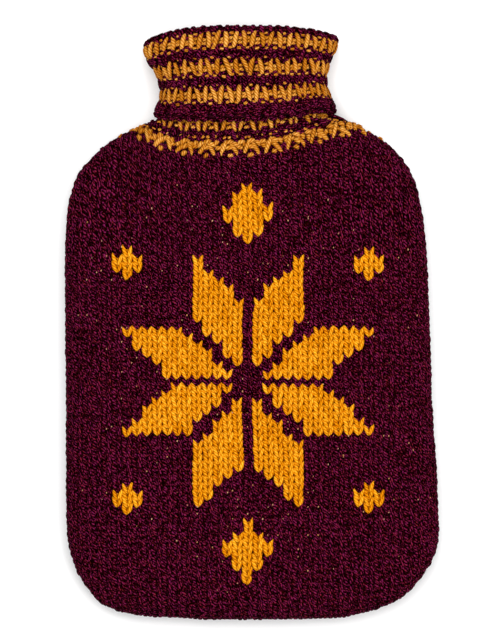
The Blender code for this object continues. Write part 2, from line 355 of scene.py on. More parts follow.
def collar_map():
    """Fits flat ribbing on the collar, from under its free edge up the outside, over the fold and in."""
    across = grid_steps(-COLLAR_WRAP, COLLAR_GIRTH + COLLAR_WRAP)
    along = grid_steps(-COLLAR_UNDER, COLLAR_FRONT_RUN + np.pi * FOLD_RADIUS + COLLAR_INSIDE)
    angles, lengths = collar_turns()
    u, v = np.meshgrid(across, along)

    # The collar is flat where it is wide and round at its waist, so its columns stay upright in front.
    y = COLLAR_EDGE_Y + np.clip(v, 0.0, COLLAR_FRONT_RUN)
    left, right = (np.interp(y, COLLAR_SECTIONS[:, 0], COLLAR_SECTIONS[:, side]) for side in (1, 2))
    crowding = np.interp(right - left, COLLAR_WIDTHS, COLLAR_CROWDING)
    u = u + crowding * COLLAR_GIRTH / (4 * np.pi) * np.sin(4 * np.pi * u / COLLAR_GIRTH)

    # Across runs the way that x grows along the front, with 0 at the middle of the back.
    angle = np.interp((0.75 * COLLAR_GIRTH - u) % COLLAR_GIRTH, lengths, angles)
    over = (v - COLLAR_FRONT_RUN) / FOLD_RADIUS
    curl = np.clip(-v / EDGE_RADIUS, 0.0, np.pi)
    turned = np.clip(over, 0.0, np.pi)
    inset = FOLD_RADIUS * (1 - np.cos(turned)) + EDGE_RADIUS * (1 - np.cos(curl))
    lift = FOLD_RADIUS * np.sin(turned) - EDGE_RADIUS * np.sin(curl)
    down = np.maximum(over - np.pi, 0.0) * FOLD_RADIUS / COLLAR_FRONT_RUN
    share = np.clip(v / COLLAR_FRONT_RUN, 0.0, 1.0) - down
    return FabricMap(across, along, collar_point(angle, share, inset, lift, False))


# ---------------------------------------------------------------------------------------------------
# Meshes and objects.

def finished(name, mesh):
    """A finished piece at the origin that rides on the part's one body."""
    obj = bpy.data.objects.new(name, mesh)
    bpy.context.scene.collection.objects.link(obj)
    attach(obj, BODY)
    return obj


def grid_faces(rows, columns, first=0, flip=False):
    """Quads of a grid whose points are numbered row by row from first."""
    index = first + np.arange(rows * columns).reshape(rows, columns)
    corners = [index[:-1, :-1], index[:-1, 1:], index[1:, 1:], index[1:, :-1]]
    return np.stack(corners[::-1] if flip else corners, axis=2).reshape(-1, 4).tolist()


def yarn_tube(name, path, fullness, gauge, sides):
    """A strand of yarn, closed at both ends, with its length and turn as its own UV map.

    Its fullness at each point of its path is a share of the yarn's width and depth."""
    run = np.gradient(path, axis=0)
    run /= np.linalg.norm(run, axis=1, keepdims=True)
    across = np.cross(run, (0.0, 0.0, 1.0))
    across /= np.linalg.norm(across, axis=1, keepdims=True)
    up = np.cross(across, run)
    half = fullness[:, None, None] / (2 * MM)
    angle = 2 * np.pi * np.arange(sides)[:, None] / sides
    ring = np.cos(angle) * across[:, None] * (gauge.yarn_width * half)
    ring = ring + np.sin(angle) * up[:, None] * (gauge.yarn_depth * half)
    points = (path[:, None] + ring).reshape(-1, 3)

    index = np.arange(len(points)).reshape(-1, sides)
    after = np.roll(index, -1, axis=1)
    faces = np.stack([index[:-1], index[1:], after[1:], after[:-1]], axis=2).reshape(-1, 4).tolist()
    faces += [index[0].tolist(), index[-1, ::-1].tolist()]
    along = np.concatenate([[0.0], np.cumsum(np.linalg.norm(np.diff(path, axis=0), axis=1))])
    uv = np.stack(np.meshgrid(along, np.arange(sides + 1) / sides, indexing="ij"), axis=2)
    quads = np.stack([uv[:-1, :-1], uv[1:, :-1], uv[1:, 1:], uv[:-1, 1:]], axis=2).reshape(-1, 2)
    corners = np.concatenate([quads, uv[0, :-1], uv[-1, -2::-1]])

    mesh = bpy.data.meshes.new(name)
    mesh.from_pydata((points * MM).tolist(), [], faces)
    layer = mesh.uv_layers.new(name="yarn")
    layer.data.foreach_set("uv", corners.astype(np.float32).ravel())
    mesh.shade_smooth()
    obj = bpy.data.objects.new(name, mesh)
    bpy.context.scene.collection.objects.link(obj)
    return obj


# How finely a strand is made: the stations along it and the sides round it.
Fineness = namedtuple("Fineness", "stations sides")
CLOSE = Fineness((0.0, 0.1, 0.28, 0.5, 0.72, 0.9, 1.0), 6)
PLAIN = Fineness((0.0, 0.16, 0.5, 0.84, 1.0), 5)

# A leg's shape: how far off its column's middle it starts and ends, as shares of the stitch's width, how
# low it starts and how tall it is, in rows, how early it spreads, how flat its middle lies, how full it is.
LegShape = namedtuple("LegShape", "near far low tall early flat full")
BODY_LEG = LegShape(0.10, 0.42, -0.16, 1.48, 1.0, 2.0, 1.0)
RIB_LEG = LegShape(0.25, 0.46, 0.0, 2.44, 2.6, 3.0, 1.12)
NECK_LEG = LegShape(0.30, 0.92, 0.0, 2.44, 1.0, 3.0, 1.12)
LEG_DIP = 0.45             # how deep a leg's ends go in, in thicknesses of the yarn

# A leg's fullness follows half a wave: its least, what the wave adds, which part of it, and how bluntly.
LEG_LEAST, LEG_GAIN = 0.40, 0.62
LEG_PART, LEG_BLUNTNESS = (0.1, 0.9), 0.7


def leg_strand(name, side, gauge, shape, fineness):
    """One leg of a knit stitch: it comes up from behind, leans over its row and dives behind the next."""
    t = np.array(fineness.stations)
    eased = (t * t * (3 - 2 * t) + t) / 2
    spread = 1 - (1 - eased) ** shape.early
    x = side * gauge.stitch_width / MM * (shape.near + (shape.far - shape.near) * spread)
    y = gauge.row_height / MM * (shape.low + shape.tall * t)
    z = -gauge.yarn_depth / MM * LEG_DIP * np.abs(2 * t - 1) ** shape.flat
    half_wave = np.sin(np.pi * (LEG_PART[0] + (LEG_PART[1] - LEG_PART[0]) * t))
    fullness = shape.full * (LEG_LEAST + LEG_GAIN * half_wave**LEG_BLUNTNESS)
    return yarn_tube(name, np.stack([x, y, z], axis=1), fullness, gauge, fineness.sides)


# A short strand's shape: half its length, how far its middle rises along the fabric and how full it is.
BarShape = namedtuple("BarShape", "half_length rise full")
BAR_SHAPE = BarShape(2.3, 0.5, 0.94)
LOOP_SHAPE = BarShape(1.0, 0.2, 0.78)
BAR_STATIONS = np.array((-1.0, -0.4, 0.4, 1.0))
BAR_TAPER = np.array((0.5, 1.0, 1.0, 0.5))
BAR_SIDES = 5
BAR_DIP, BAR_BEND = 0.6, 2.4           # its ends follow a wave this deep, in thicknesses, and this long


def bar_strand(name, shape, gauge):
    """A short strand that lies across its column and bends down at both ends, as a purl stitch shows."""
    x = shape.half_length * BAR_STATIONS
    y = shape.rise * (1 - BAR_STATIONS**2)
    z = gauge.yarn_depth / MM * BAR_DIP * (np.cos(BAR_STATIONS * np.pi / BAR_BEND) - 1)
    return yarn_tube(name, np.stack([x, y, z], axis=1), shape.full * BAR_TAPER, gauge, BAR_SIDES)


# The strands by number, and their names as inputs of the tree that copies them.
RIGHT_LEG, LEFT_LEG, RIGHT_RIB_LEG, LEFT_RIB_LEG, RIGHT_NECK_LEG, LEFT_NECK_LEG, BAR, LOOP = range(8)
BODY_LEGS = (RIGHT_LEG, LEFT_LEG)
RIB_LEGS = (RIGHT_RIB_LEG, LEFT_RIB_LEG)
NECK_LEGS = (RIGHT_NECK_LEG, LEFT_NECK_LEG)
STRANDS = ("Right Leg", "Left Leg", "Right Rib Leg", "Left Rib Leg", "Right Neck Leg", "Left Neck Leg",
           "Bar", "Loop")


def strands_for(gauge, fineness):
    """The strand shapes, as objects, in the order of their numbers."""
    legs = [
        leg_strand(f"{side}_{kind}", way, gauge, shape, fineness)
        for kind, shape in (("leg", BODY_LEG), ("rib_leg", RIB_LEG), ("neck_leg", NECK_LEG))
        for side, way in (("right", 1.0), ("left", -1.0))
    ]
    return (*legs, bar_strand("bar", BAR_SHAPE, gauge), bar_strand("loop", LOOP_SHAPE, gauge))


# ---------------------------------------------------------------------------------------------------
# Geometry Nodes: the same small tree lays every stitch.

def fill(tree, node, inputs):
    """Fills a node's sockets, by name or by number, with values or with links from other sockets."""
    for name, value in inputs.items():
        if isinstance(value, bpy.types.NodeSocket):
            tree.links.new(value, node.inputs[name])
        else:
            node.inputs[name].default_value = value


def add_node(tree, kind, inputs=None, **settings):
    """A node with its settings made and its sockets filled."""
    made = tree.nodes.new(kind)
    for name, value in settings.items():
        setattr(made, name, value)
    fill(tree, made, inputs or {})
    return made


def math_node(tree, operation, *values):
    """The output of a maths node."""
    return add_node(tree, "ShaderNodeMath", dict(enumerate(values)), operation=operation).outputs[0]


def stitch_tree():
    """Geometry Nodes that put a strand on every point, as its shape, turn and size attributes say."""
    tree = bpy.data.node_groups.new("lay_stitches", "GeometryNodeTree")
    for name, kind in (
        ("Stitches", "Geometry"), *((strand, "Object") for strand in STRANDS), ("Yarn", "Material"),
        ("Shift", "Float"), ("Lean", "Float"), ("Swell", "Float"), ("Seed", "Int"),
    ):
        tree.interface.new_socket(name, in_out="INPUT", socket_type="NodeSocket" + kind)
    tree.interface.new_socket("Knitting", in_out="OUTPUT", socket_type="NodeSocketGeometry")
    given = tree.nodes.new("NodeGroupInput").outputs

    def attribute(name, kind):
        """A value that each point carries."""
        named = add_node(tree, "GeometryNodeInputNamedAttribute", {"Name": name}, data_type=kind)
        return named.outputs["Attribute"]

    def spread(amount, salt, kind):
        """A chance value for each point, no further from nought than the amount."""
        least, most, output = (0, 1, 0) if kind == "FLOAT_VECTOR" else (2, 3, 1)
        chance = add_node(tree, "FunctionNodeRandomValue", {
            least: math_node(tree, "MULTIPLY", amount, -1.0), most: amount,
            "Seed": math_node(tree, "ADD", given["Seed"], salt),
        }, data_type=kind)
        return chance.outputs[output]

    moved = add_node(tree, "GeometryNodeSetPosition", {
        "Geometry": given["Stitches"], "Offset": spread(given["Shift"], 1.0, "FLOAT_VECTOR"),
    })
    shapes = tree.nodes.new("GeometryNodeJoinGeometry")
    for name in reversed(STRANDS):
        shape = add_node(tree, "GeometryNodeObjectInfo", {"Object": given[name], "As Instance": True})
        tree.links.new(shape.outputs["Geometry"], shapes.inputs[0])

    turn = add_node(tree, "ShaderNodeCombineXYZ", {"Z": attribute("turn", "FLOAT")})
    lean = add_node(tree, "ShaderNodeVectorMath", {
        0: turn.outputs[0], 1: spread(given["Lean"], 2.0, "FLOAT_VECTOR"),
    }, operation="ADD")
    size = add_node(tree, "ShaderNodeVectorMath", {
        0: attribute("size", "FLOAT_VECTOR"),
        "Scale": math_node(tree, "ADD", spread(given["Swell"], 3.0, "FLOAT"), 1.0),
    }, operation="SCALE")
    placed = add_node(tree, "GeometryNodeInstanceOnPoints", {
        "Points": moved.outputs[0], "Instance": shapes.outputs[0], "Pick Instance": True,
        "Instance Index": attribute("shape", "INT"), "Rotation": lean.outputs[0], "Scale": size.outputs[0],
    })
    whole = add_node(tree, "GeometryNodeRealizeInstances", {"Geometry": placed.outputs[0]})
    dyed = add_node(tree, "GeometryNodeSetMaterial", {
        "Geometry": whole.outputs[0], "Material": given["Yarn"],
    })
    tree.links.new(dyed.outputs[0], tree.nodes.new("NodeGroupOutput").inputs[0])
    return tree


# Stitches on the flat fabric: their places, strands, turns, sizes and the tones of their dye.
Stitches = namedtuple("Stitches", "at shape turn size tone")


def joined(parts):
    """Several lists of stitches as one."""
    return Stitches(*(np.concatenate(column) for column in zip(*parts)))


def picked(stitches, mask):
    """The stitches that a mask keeps."""
    return Stitches(*(column[mask] for column in stitches))


# Stitches that become one piece: its name, its yarn, what is added to the gauge's seed, and its slot.
Batch = namedtuple("Batch", "name stitches yarn salt slot")

# How far the strands of even hand knitting differ, in millimetres, in radians and as a share of their size.
SHIFT, LEAN, SWELL = 0.10, 0.045, 0.05


def stitch_points(name, stitches):
    """A mesh with a point for each stitch, which carries the stitch's values as attributes."""
    points = bpy.data.meshes.new(name)
    points.vertices.add(len(stitches.at))
    points.vertices.foreach_set("co", (stitches.at * MM).astype(np.float32).ravel())
    for label, kind, field, values in (
        ("shape", "INT", "value", stitches.shape.astype(np.int32)),
        ("turn", "FLOAT", "value", stitches.turn.astype(np.float32)),
        ("size", "FLOAT_VECTOR", "vector", stitches.size.astype(np.float32).ravel()),
        ("tone", "FLOAT", "value", stitches.tone.astype(np.float32)),
    ):
        points.attributes.new(label, kind, "POINT").data.foreach_set(field, values)
    return points


def lay(batch, strands, form, gauge):
    """Lays stitches with the tree on the flat fabric, fits the result on its form and finishes the piece."""
    points = stitch_points(batch.name + "_points", batch.stitches)
    holder = bpy.data.objects.new(points.name, points)
    bpy.context.scene.collection.objects.link(holder)
    modifier = holder.modifiers.new("stitches", "NODES")
    modifier.node_group = bpy.data.node_groups.get("lay_stitches") or stitch_tree()
    values = {
        **dict(zip(STRANDS, strands)), "Yarn": yarns()[batch.yarn],
        "Shift": SHIFT * gauge.unevenness * MM, "Lean": LEAN * gauge.unevenness,
        "Swell": SWELL * gauge.unevenness, "Seed": gauge.seed + batch.salt,
    }
    for item in modifier.node_group.interface.items_tree:
        if item.in_out == "INPUT" and item.name in values:
            modifier[item.identifier] = values[item.name]
    holder.update_tag()
    bpy.context.view_layer.update()
    graph = bpy.context.evaluated_depsgraph_get()
    mesh = bpy.data.meshes.new_from_object(holder.evaluated_get(graph), depsgraph=graph)
    bpy.data.objects.remove(holder)
    bpy.data.meshes.remove(points)
    if not mesh.polygons:
        raise RuntimeError(f"{batch.name}: the tree laid no stitches")

    flat = np.empty(len(mesh.vertices) * 3, np.float32)
    mesh.vertices.foreach_get("co", flat)
    fitted = form.place(flat.reshape(-1, 3).astype(float) / MM) * MM
    fitted[:, 2] = np.maximum(fitted[:, 2], 0.0)
    mesh.vertices.foreach_set("co", fitted.astype(np.float32).ravel())
    while mesh.materials[0] is None:
        mesh.materials.pop(index=0)
    mesh.update()
    mesh.name = batch.name
    return finished(batch.name, mesh)


def knit(batches, form, gauge, fineness, lift, squeeze=1.0):
    """Lays batches of stitches as pieces, moved out of the fabric by a lift and flattened by a squeeze."""
    strands = strands_for(gauge, fineness)
    pieces = []
    for batch in batches:
        at = batch.stitches.at + (0.0, 0.0, lift)
        size = batch.stitches.size * (1.0, 1.0, squeeze)
        raised = batch._replace(stitches=batch.stitches._replace(at=at, size=size))
        pieces.append(lay(raised, strands, form, gauge))
    for strand in strands:
        mesh = strand.data
        bpy.data.objects.remove(strand)
        bpy.data.meshes.remove(mesh)
    return pieces


# ---------------------------------------------------------------------------------------------------
# Yarn and stage materials.

def base_material(name):
    """A material with only its Principled shader, and its tree."""
    material = bpy.data.materials.new(name)
    material.use_nodes = True
    return material, material.node_tree, material.node_tree.nodes["Principled BSDF"]


def ramp(tree, share, stops):
    """The colour output of an eased ramp with these (place, colour) stops."""
    made = add_node(tree, "ShaderNodeValToRGB", {0: share})
    band = made.color_ramp
    band.interpolation = "EASE"
    while len(band.elements) < len(stops):
        band.elements.new(0.5)
    for element, (place, colour) in zip(band.elements, stops):
        element.position = place
        element.color = colour
    return made.outputs[0]


def noise(tree, place, scale, detail, roughness):
    """The outputs of a noise texture."""
    return add_node(tree, "ShaderNodeTexNoise", {
        "Vector": place, "Scale": scale, "Detail": detail, "Roughness": roughness,
    }).outputs


def bumped(tree, height, strength, distance):
    """The normal output of a bump whose distance is in metres."""
    return add_node(tree, "ShaderNodeBump", {
        "Height": height, "Strength": strength, "Distance": distance,
    }).outputs[0]


WOOL_IOR = 1.15            # low, because loose fibres hardly mirror anything at a glance
WOOL_ROUGHNESS = (0.5, 0.3)            # of its grooves, and what its fibres add
PLY_PITCH = 1.9            # spacing of the twisted plies along the strand
PLIES = -4.0               # how many lie round it, negative for the way that they twist
PLY_SHIFT = 7.0            # how far the plies of strands of different tones lie off each other
MIDDLE = 0.5               # of a noise, of the strands' tones and of the dye's scale
PLY_MEAN = 0.64            # of the plies' height, about which the painted ply shade and highlight turn
PAINTED_SIDE_SHADE_MEAN = 0.8           # painted shade: where a strand faces out less than this, round its sides and under it, its dye darkens

# A yarn's look: how much its dye varies by fleck, fibre and strand, how much painted light it carries:
# painted shade in the grooves between its plies with painted highlight on their crests, and painted shade
# at the strand's sides; where its three colours lie on that scale, how much its hue wanders, and the tint
# and gloss of its shine.
YarnLook = namedtuple("YarnLook", "fleck fibre strand groove side stops hue shine specular")
BURGUNDY_LOOK = YarnLook(
    fleck=3.2, fibre=2.0, strand=0.15, groove=0.9, side=0.35, stops=(0.43, 0.72, 1.0), hue=-0.20,
    shine=(1.0, 0.10, 0.25, 1.0), specular=0.03)
GOLDEN_LOOK = YarnLook(
    fleck=0.4, fibre=0.8, strand=0.35, groove=0.5, side=0.5, stops=(0.06, 0.52, 1.0), hue=0.04,
    shine=(1.0, 0.62, 0.12, 1.0), specular=0.04)

PALE, PALE_BRIGHT = (0.50, 0.23, 0.11, 1.0), (0.74, 0.45, 0.30, 1.0)     # of the specks of golden yarn
SHADE_DEEP, SHADE = (0.006, 0.0002, 0.0008, 1.0), (0.05, 0.001, 0.008, 1.0)    # of the cloth behind


def yarn_material(name, deep, middle, bright, look):
    """Twisted wool. Its plies and fibres follow each strand, and its dye varies along it, with painted shade
    in its ply grooves and at its sides and painted highlight on its ply crests.
    """
    material, tree, shader = base_material(name)
    uv = add_node(tree, "ShaderNodeUVMap", uv_map="yarn").outputs[0]
    along, around = add_node(tree, "ShaderNodeSeparateXYZ", {0: uv}).outputs[:2]
    strand = add_node(tree, "ShaderNodeAttribute", attribute_name="tone").outputs["Fac"]
    measures = {"along": along, "around": around, "strand": strand}

    def blend(**shares):
        """The sum of measures of the strand, each times its share."""
        total = 0.0
        for measure, share in shares.items():
            total = math_node(tree, "MULTIPLY_ADD", measures[measure], share, total)
        return total

    def varied(base, value, middle, amount):
        """A base plus an amount of how far a value lies off its middle."""
        return math_node(tree, "MULTIPLY_ADD", math_node(tree, "SUBTRACT", value, middle), amount, base)

    def place(x, y, z):
        """Where a noise is read."""
        return add_node(tree, "ShaderNodeCombineXYZ", {0: x, 1: y, 2: z}).outputs[0]

    measures["twist"] = blend(along=1 / PLY_PITCH, around=PLIES, strand=PLY_SHIFT)
    ply = math_node(tree, "ABSOLUTE", math_node(tree, "SINE", blend(twist=np.pi)))
    # Painted shade: 1 where the strand faces straight out, lower round its sides and under it; the dye
    # darkens where it is low.
    painted_side_shade = math_node(tree, "SINE", blend(around=2 * np.pi))
    grain = place(blend(along=0.55), blend(around=3.0, twist=1.1), blend(strand=31.0))
    streak = place(blend(along=0.43, around=3.2), blend(twist=1.5), blend(strand=57.0))
    fibres = noise(tree, grain, scale=2.2, detail=3.0, roughness=0.65)["Fac"]
    streaks = noise(tree, streak, scale=1.15, detail=2.0, roughness=0.7)
    wander = add_node(tree, "ShaderNodeSeparateXYZ", {0: streaks["Color"]}).outputs[1]
    measures.update(fibres=fibres, ply=ply)

    # The dye: random fleck, fibre and strand tones, painted shade in the ply grooves with painted highlight
    # on the crests, and painted shade at the strand's sides.
    dye = MIDDLE
    for value, mean, amount in (
        (streaks["Fac"], MIDDLE, look.fleck), (fibres, MIDDLE, look.fibre), (strand, MIDDLE, look.strand),
        (ply, PLY_MEAN, look.groove), (painted_side_shade, PAINTED_SIDE_SHADE_MEAN, look.side),
    ):
        dye = varied(dye, value, mean, amount)
    tinted = add_node(tree, "ShaderNodeHueSaturation", {
        "Hue": varied(MIDDLE, wander, MIDDLE, look.hue),
        "Color": ramp(tree, dye, tuple(zip(look.stops, (deep, middle, bright)))),
    })
    smooth, rough = WOOL_ROUGHNESS
    fill(tree, shader, {
        "Base Color": tinted.outputs[0],
        "Roughness": math_node(tree, "MULTIPLY_ADD", fibres, rough, smooth),
        "Normal": bumped(tree, blend(fibres=0.45, ply=0.7), strength=0.85, distance=0.0004),
        "IOR": WOOL_IOR, "Specular IOR Level": look.specular, "Specular Tint": look.shine,
    })
    return material


def ground_material(name, deep, middle):
    """The shaded wool behind the stitches and the purl side within, in rows of small bumps."""
    material, tree, shader = base_material(name)
    place = add_node(tree, "ShaderNodeTexCoord").outputs["Object"]
    rows = add_node(tree, "ShaderNodeTexWave", {
        "Vector": place, "Scale": 75.0, "Distortion": 3.0, "Detail": 2.0, "Detail Scale": 3.0,
    }, bands_direction="Y").outputs["Fac"]
    flecks = noise(tree, place, scale=600.0, detail=3.0, roughness=0.6)["Fac"]
    share = math_node(tree, "MULTIPLY", rows, flecks)
    fill(tree, shader, {
        "Base Color": ramp(tree, share, ((0.1, deep), (0.7, middle))),
        "Normal": bumped(tree, share, strength=0.8, distance=0.0008),
        "Roughness": 0.95, "Specular IOR Level": 0.1,
    })
    return material


def yarns():
    """The cover's materials, made once."""
    if "burgundy_wool" not in bpy.data.materials:
        dye = bpy.context.scene.cover_dyes
        yarn_material("burgundy_wool", dye.burgundy_deep, dye.burgundy, dye.burgundy_bright, BURGUNDY_LOOK)
        yarn_material("golden_wool", dye.gold_deep, dye.gold, dye.gold_bright, GOLDEN_LOOK)
        # The ribbing's gold: the body's gold darkened as painted shade, paler at its brightest.
        yarn_material("golden_rib_wool", dye.rib_deep, dye.rib, dye.rib_bright, GOLDEN_LOOK)
        yarn_material("pale_wool", dye.rib, PALE, PALE_BRIGHT, GOLDEN_LOOK)
        ground_material("burgundy_shade", SHADE_DEEP, SHADE)
    return bpy.data.materials


# ---------------------------------------------------------------------------------------------------
# The knitting itself, laid out flat.

BODY_TOP = 99.5            # where the plain knitting ends and the neck ribbing begins
BODY_ROWS = 69
BODY_COLUMNS = 22          # on each side of the middle one
BODY_MIDDLE = -2.3         # of the middle column
SEAM_MARGIN = 0.8          # how far inside the seam every other stitch lies
NECK_MARGIN = 6.0          # of the golden stripe that comes out from under the collar
PATTERN_MIDDLE = (-2.3, -38.0)
BACKING = -1.3             # depth of the golden bars behind the golden stitches

# The neck's knit columns fan out from the collar to the body.
FAN_LOW, FAN_HIGH = 104.0, 112.2
FAN_LOW_MIDDLE, FAN_HIGH_MIDDLE = -6.6, -8.0
FAN_LOW_PITCH, FAN_HIGH_PITCH = 13.15, 10.4
RIB_LEG_TALL = 10.1        # the height of a rib leg as its shape makes it

# The short strands between the legs: how far towards the next knit column, how high, which strand, how
# wide, how far out, how it turns, whether it is golden and how thick it is.
Mark = namedtuple("Mark", "share high strand wide above turn golden fat", defaults=(1.0,))
NECK_MARKS = (
    Mark(0.50, 104.0, BAR, 1.15, 0.7, 0.15, True, 1.25), Mark(0.50, 101.2, BAR, 1.2, 0.4, -0.25, True, 1.25),
    Mark(0.00, 103.6, BAR, 1.0, 0.6, 0.5, True, 1.25), Mark(0.00, 101.0, BAR, 0.95, 0.2, -0.4, True, 1.2),
    Mark(0.26, 102.6, BAR, 1.05, 0.1, 0.5, True, 1.25), Mark(0.76, 102.8, BAR, 1.05, 0.2, -0.5, True, 1.25),
    Mark(0.50, 96.7, BAR, 0.84, 0.7, 0.2, True, 1.15),
    Mark(0.20, 107.3, LOOP, 1.25, 0.3, 0.1, True), Mark(0.80, 107.5, LOOP, 1.15, 0.3, -0.2, True),
    Mark(0.50, 107.2, LOOP, 0.9, 0.2, 0.0, True), Mark(0.34, 106.4, LOOP, 0.9, 0.2, 0.3, False),
    Mark(0.66, 106.5, LOOP, 0.9, 0.2, -0.3, False), Mark(0.00, 106.4, LOOP, 1.0, 0.2, 0.0, False),
    Mark(0.00, 98.4, LOOP, 1.2, 0.0, 0.0, False), Mark(0.50, 109.6, BAR, 0.9, -0.1, 0.2, False),
    Mark(0.50, 111.8, BAR, 0.8, -0.1, -0.2, False), Mark(0.00, 109.0, BAR, 0.7, -0.3, 0.0, False),
    Mark(0.00, 113.0, LOOP, 1.3, 0.0, 0.0, False), Mark(0.00, 114.6, LOOP, 1.2, -0.3, 0.0, False),
    Mark(0.50, 112.6, BAR, 0.75, 0.2, 0.1, True), Mark(0.50, 114.4, BAR, 0.7, -0.3, 0.0, False),
    Mark(0.50, 116.2, BAR, 1.1, 0.0, 0.1, True), Mark(0.00, 116.4, BAR, 0.9, -0.1, -0.1, True),
    Mark(0.50, 118.0, BAR, 1.1, 0.1, 0.0, True), Mark(0.00, 118.2, BAR, 0.9, 0.0, 0.0, True),
)

# The neck's bands of colour, from the body up: where the legs start and end, how far out they lie, their
# shapes and whether they are golden.
NeckBand = namedtuple("NeckBand", "low high above shapes golden")
NECK_BANDS = (
    NeckBand(96.6, 105.4, 0.5, NECK_LEGS, True), NeckBand(104.6, 112.6, 0.2, RIB_LEGS, False),
    NeckBand(111.0, 121.0, 0.2, RIB_LEGS, True), NeckBand(120.0, 129.4, 0.2, RIB_LEGS, False),
)
NECK_FILLING = (97.5, 129.0, 2.5)      # from, to and step of the bars that lie behind the rest
GOLDEN_FILLING = (114.0, 121.0)        # where they are golden
FILLING_SHARES = (0.0, 0.25, 0.5, 0.75)    # how far towards the next column they lie
FILLING_DEPTH = -0.95


def lattice(columns, rows):
    """Column and row numbers of every stitch, flat."""
    i, j = np.meshgrid(columns, rows)
    return i.ravel(), j.ravel()


def drift(across, along):
    """Slow wandering of the columns and rows, as hand tension leaves it."""
    du = 0.42 * wave(along, length=19, start=0.4) * wave(across, length=47, start=1.9)
    dv = 0.40 * wave(across, length=17, start=0.9) * wave(along, length=41, start=0.0)
    du += 0.22 * wave(along, length=7.3, start=across / 23)
    dv += 0.20 * wave(across, length=6.1, start=along / 31)
    return du, dv


TONE_SPREAD = 0.22         # of the strands' dye
LEG_SHIFT = 0.08           # spread of the heights at which legs lie
BAR_TURN = 0.14            # and of the turns of short strands


def tones(count, rng):
    """How light the dye of each strand is, between 0 and 1."""
    return np.clip(rng.normal(MIDDLE, TONE_SPREAD, count), 0.0, 1.0)


def scattered(values, spread, rng):
    """Values with a chance amount added to each."""
    return values + rng.normal(0, spread, len(values))


def knit_legs(shapes, across, along, tall, above, turn, rng):
    """Both legs of each knit stitch whose narrow end's middle is given."""
    parts = []
    even = np.ones(len(across))
    for shape in shapes:
        at = np.stack([across, along, scattered(above * even, LEG_SHIFT, rng)], axis=1)
        size = np.stack([even, tall * even, even], axis=1)
        kinds = np.full(len(across), shape)
        parts.append(Stitches(at, kinds, turn * even, size, tones(len(across), rng)))
    return joined(parts)


def short_strands(shape, across, along, wide, above, turn, rng, fat=1.0):
    """Bars or loops whose middles are given."""
    count = len(across)
    at = np.stack([across, along, np.full(count, above)], axis=1)
    tone = tones(count, rng)
    turns = turn + rng.normal(0, BAR_TURN, count)
    return Stitches(at, np.full(count, shape), turns, np.tile((wide, fat, fat), (count, 1)), tone)


GAP_SHARES = (0.5, 0.35)               # of the gap, left beside the star's upright and its level axis
END_DIAMONDS = (24.0, 15.5, 17.5)      # how far past the star they lie, half their width and height
SIDE_DIAMONDS = (0.95, 0.92, 9.5, 9.0)     # their place, in reaches of the star, half their width and height


def in_diamond(x, y, middle_x, middle_y, half_width, half_height):
    """Which places lie in a diamond."""
    return np.abs(x - middle_x) / half_width + np.abs(y - middle_y) / half_height <= 1.0


def in_pattern(across, along, star):
    """Which stitches are golden: a plain eight-pointed star of lozenges with small diamonds round it."""
    size, gap = star.lozenge / MM, star.gap / MM
    x, y = np.abs(across - PATTERN_MIDDLE[0]), np.abs(along - PATTERN_MIDDLE[1])
    long_way, short_way = np.maximum(x, y), np.minimum(x, y)
    slant = long_way - short_way
    found = (slant <= size) & (short_way <= size * np.sqrt(0.5))
    found &= (slant > gap) & (short_way > np.where(x < y, *GAP_SHARES) * gap)
    reach = size * (1 + np.sqrt(0.5))
    past, *end_size = END_DIAMONDS
    found |= in_diamond(x, y, 0.0, reach + past, *end_size)
    side_x, side_y, *side_size = SIDE_DIAMONDS
    return found | in_diamond(x, y, side_x * reach, side_y * reach, *side_size)


LEGS_MIDDLE = 0.6          # of a row, above a stitch's point
BACKING_HIGH, BACKING_WIDE = 0.66, 1.1     # of a row above a stitch's point, and of a bar's length


def body_knitting(gauge, form, rng):
    """The plain stitches of a panel, in stocking stitch, with where each one lies."""
    width, height = gauge.stitch_width / MM, gauge.row_height / MM
    i, j = lattice(np.arange(-BODY_COLUMNS, BODY_COLUMNS + 1), np.arange(BODY_ROWS))
    across = BODY_MIDDLE + i * width
    along = BODY_TOP - (BODY_ROWS - j) * height
    du, dv = drift(across, along)
    inside = form.read(form.margin, across, along + LEGS_MIDDLE * height) > SEAM_MARGIN
    across, along, du, dv = across[inside], along[inside], du[inside], dv[inside]
    return across, along, knit_legs(BODY_LEGS, across + du, along + dv, 1.0, 0.0, 0.0, rng)


def star_backing(across, along, gauge, rng):
    """The golden yarn behind golden stitches, so that no burgundy shows between their legs."""
    high = along + BACKING_HIGH * gauge.row_height / MM
    return short_strands(BAR, across, high, BACKING_WIDE, BACKING, 0.0, rng)


SEAM_BAND = (-1.0, 3.8)    # the margins that the seam's own strands fill
SEAM_STEP = 2.7
SEAM_ABOVE = -0.3
SEAM_WIDE = 0.9
SEAM_TURN = 0.3            # spread of their turns
SLOPE_STEP = 0.5           # over which the margin's slope is measured


def seam_knitting(form, rng):
    """The short strands along a panel's seam, where its columns run out."""
    across, along = np.meshgrid(np.arange(form.across[1], form.across[-1], SEAM_STEP),
                                np.arange(form.along[1], BODY_TOP, SEAM_STEP))
    across, along = across.ravel(), along.ravel()
    margin = form.read(form.margin, across, along)
    inside = (margin > SEAM_BAND[0]) & (margin < SEAM_BAND[1])
    across, along, margin = across[inside], along[inside], margin[inside]
    slope_across = form.read(form.margin, across + SLOPE_STEP, along) - margin
    slope_along = form.read(form.margin, across, along + SLOPE_STEP) - margin
    turn = scattered(np.arctan2(slope_along, slope_across) + np.pi / 2, SEAM_TURN, rng)
    return short_strands(BAR, across, along, SEAM_WIDE, SEAM_ABOVE, turn, rng)


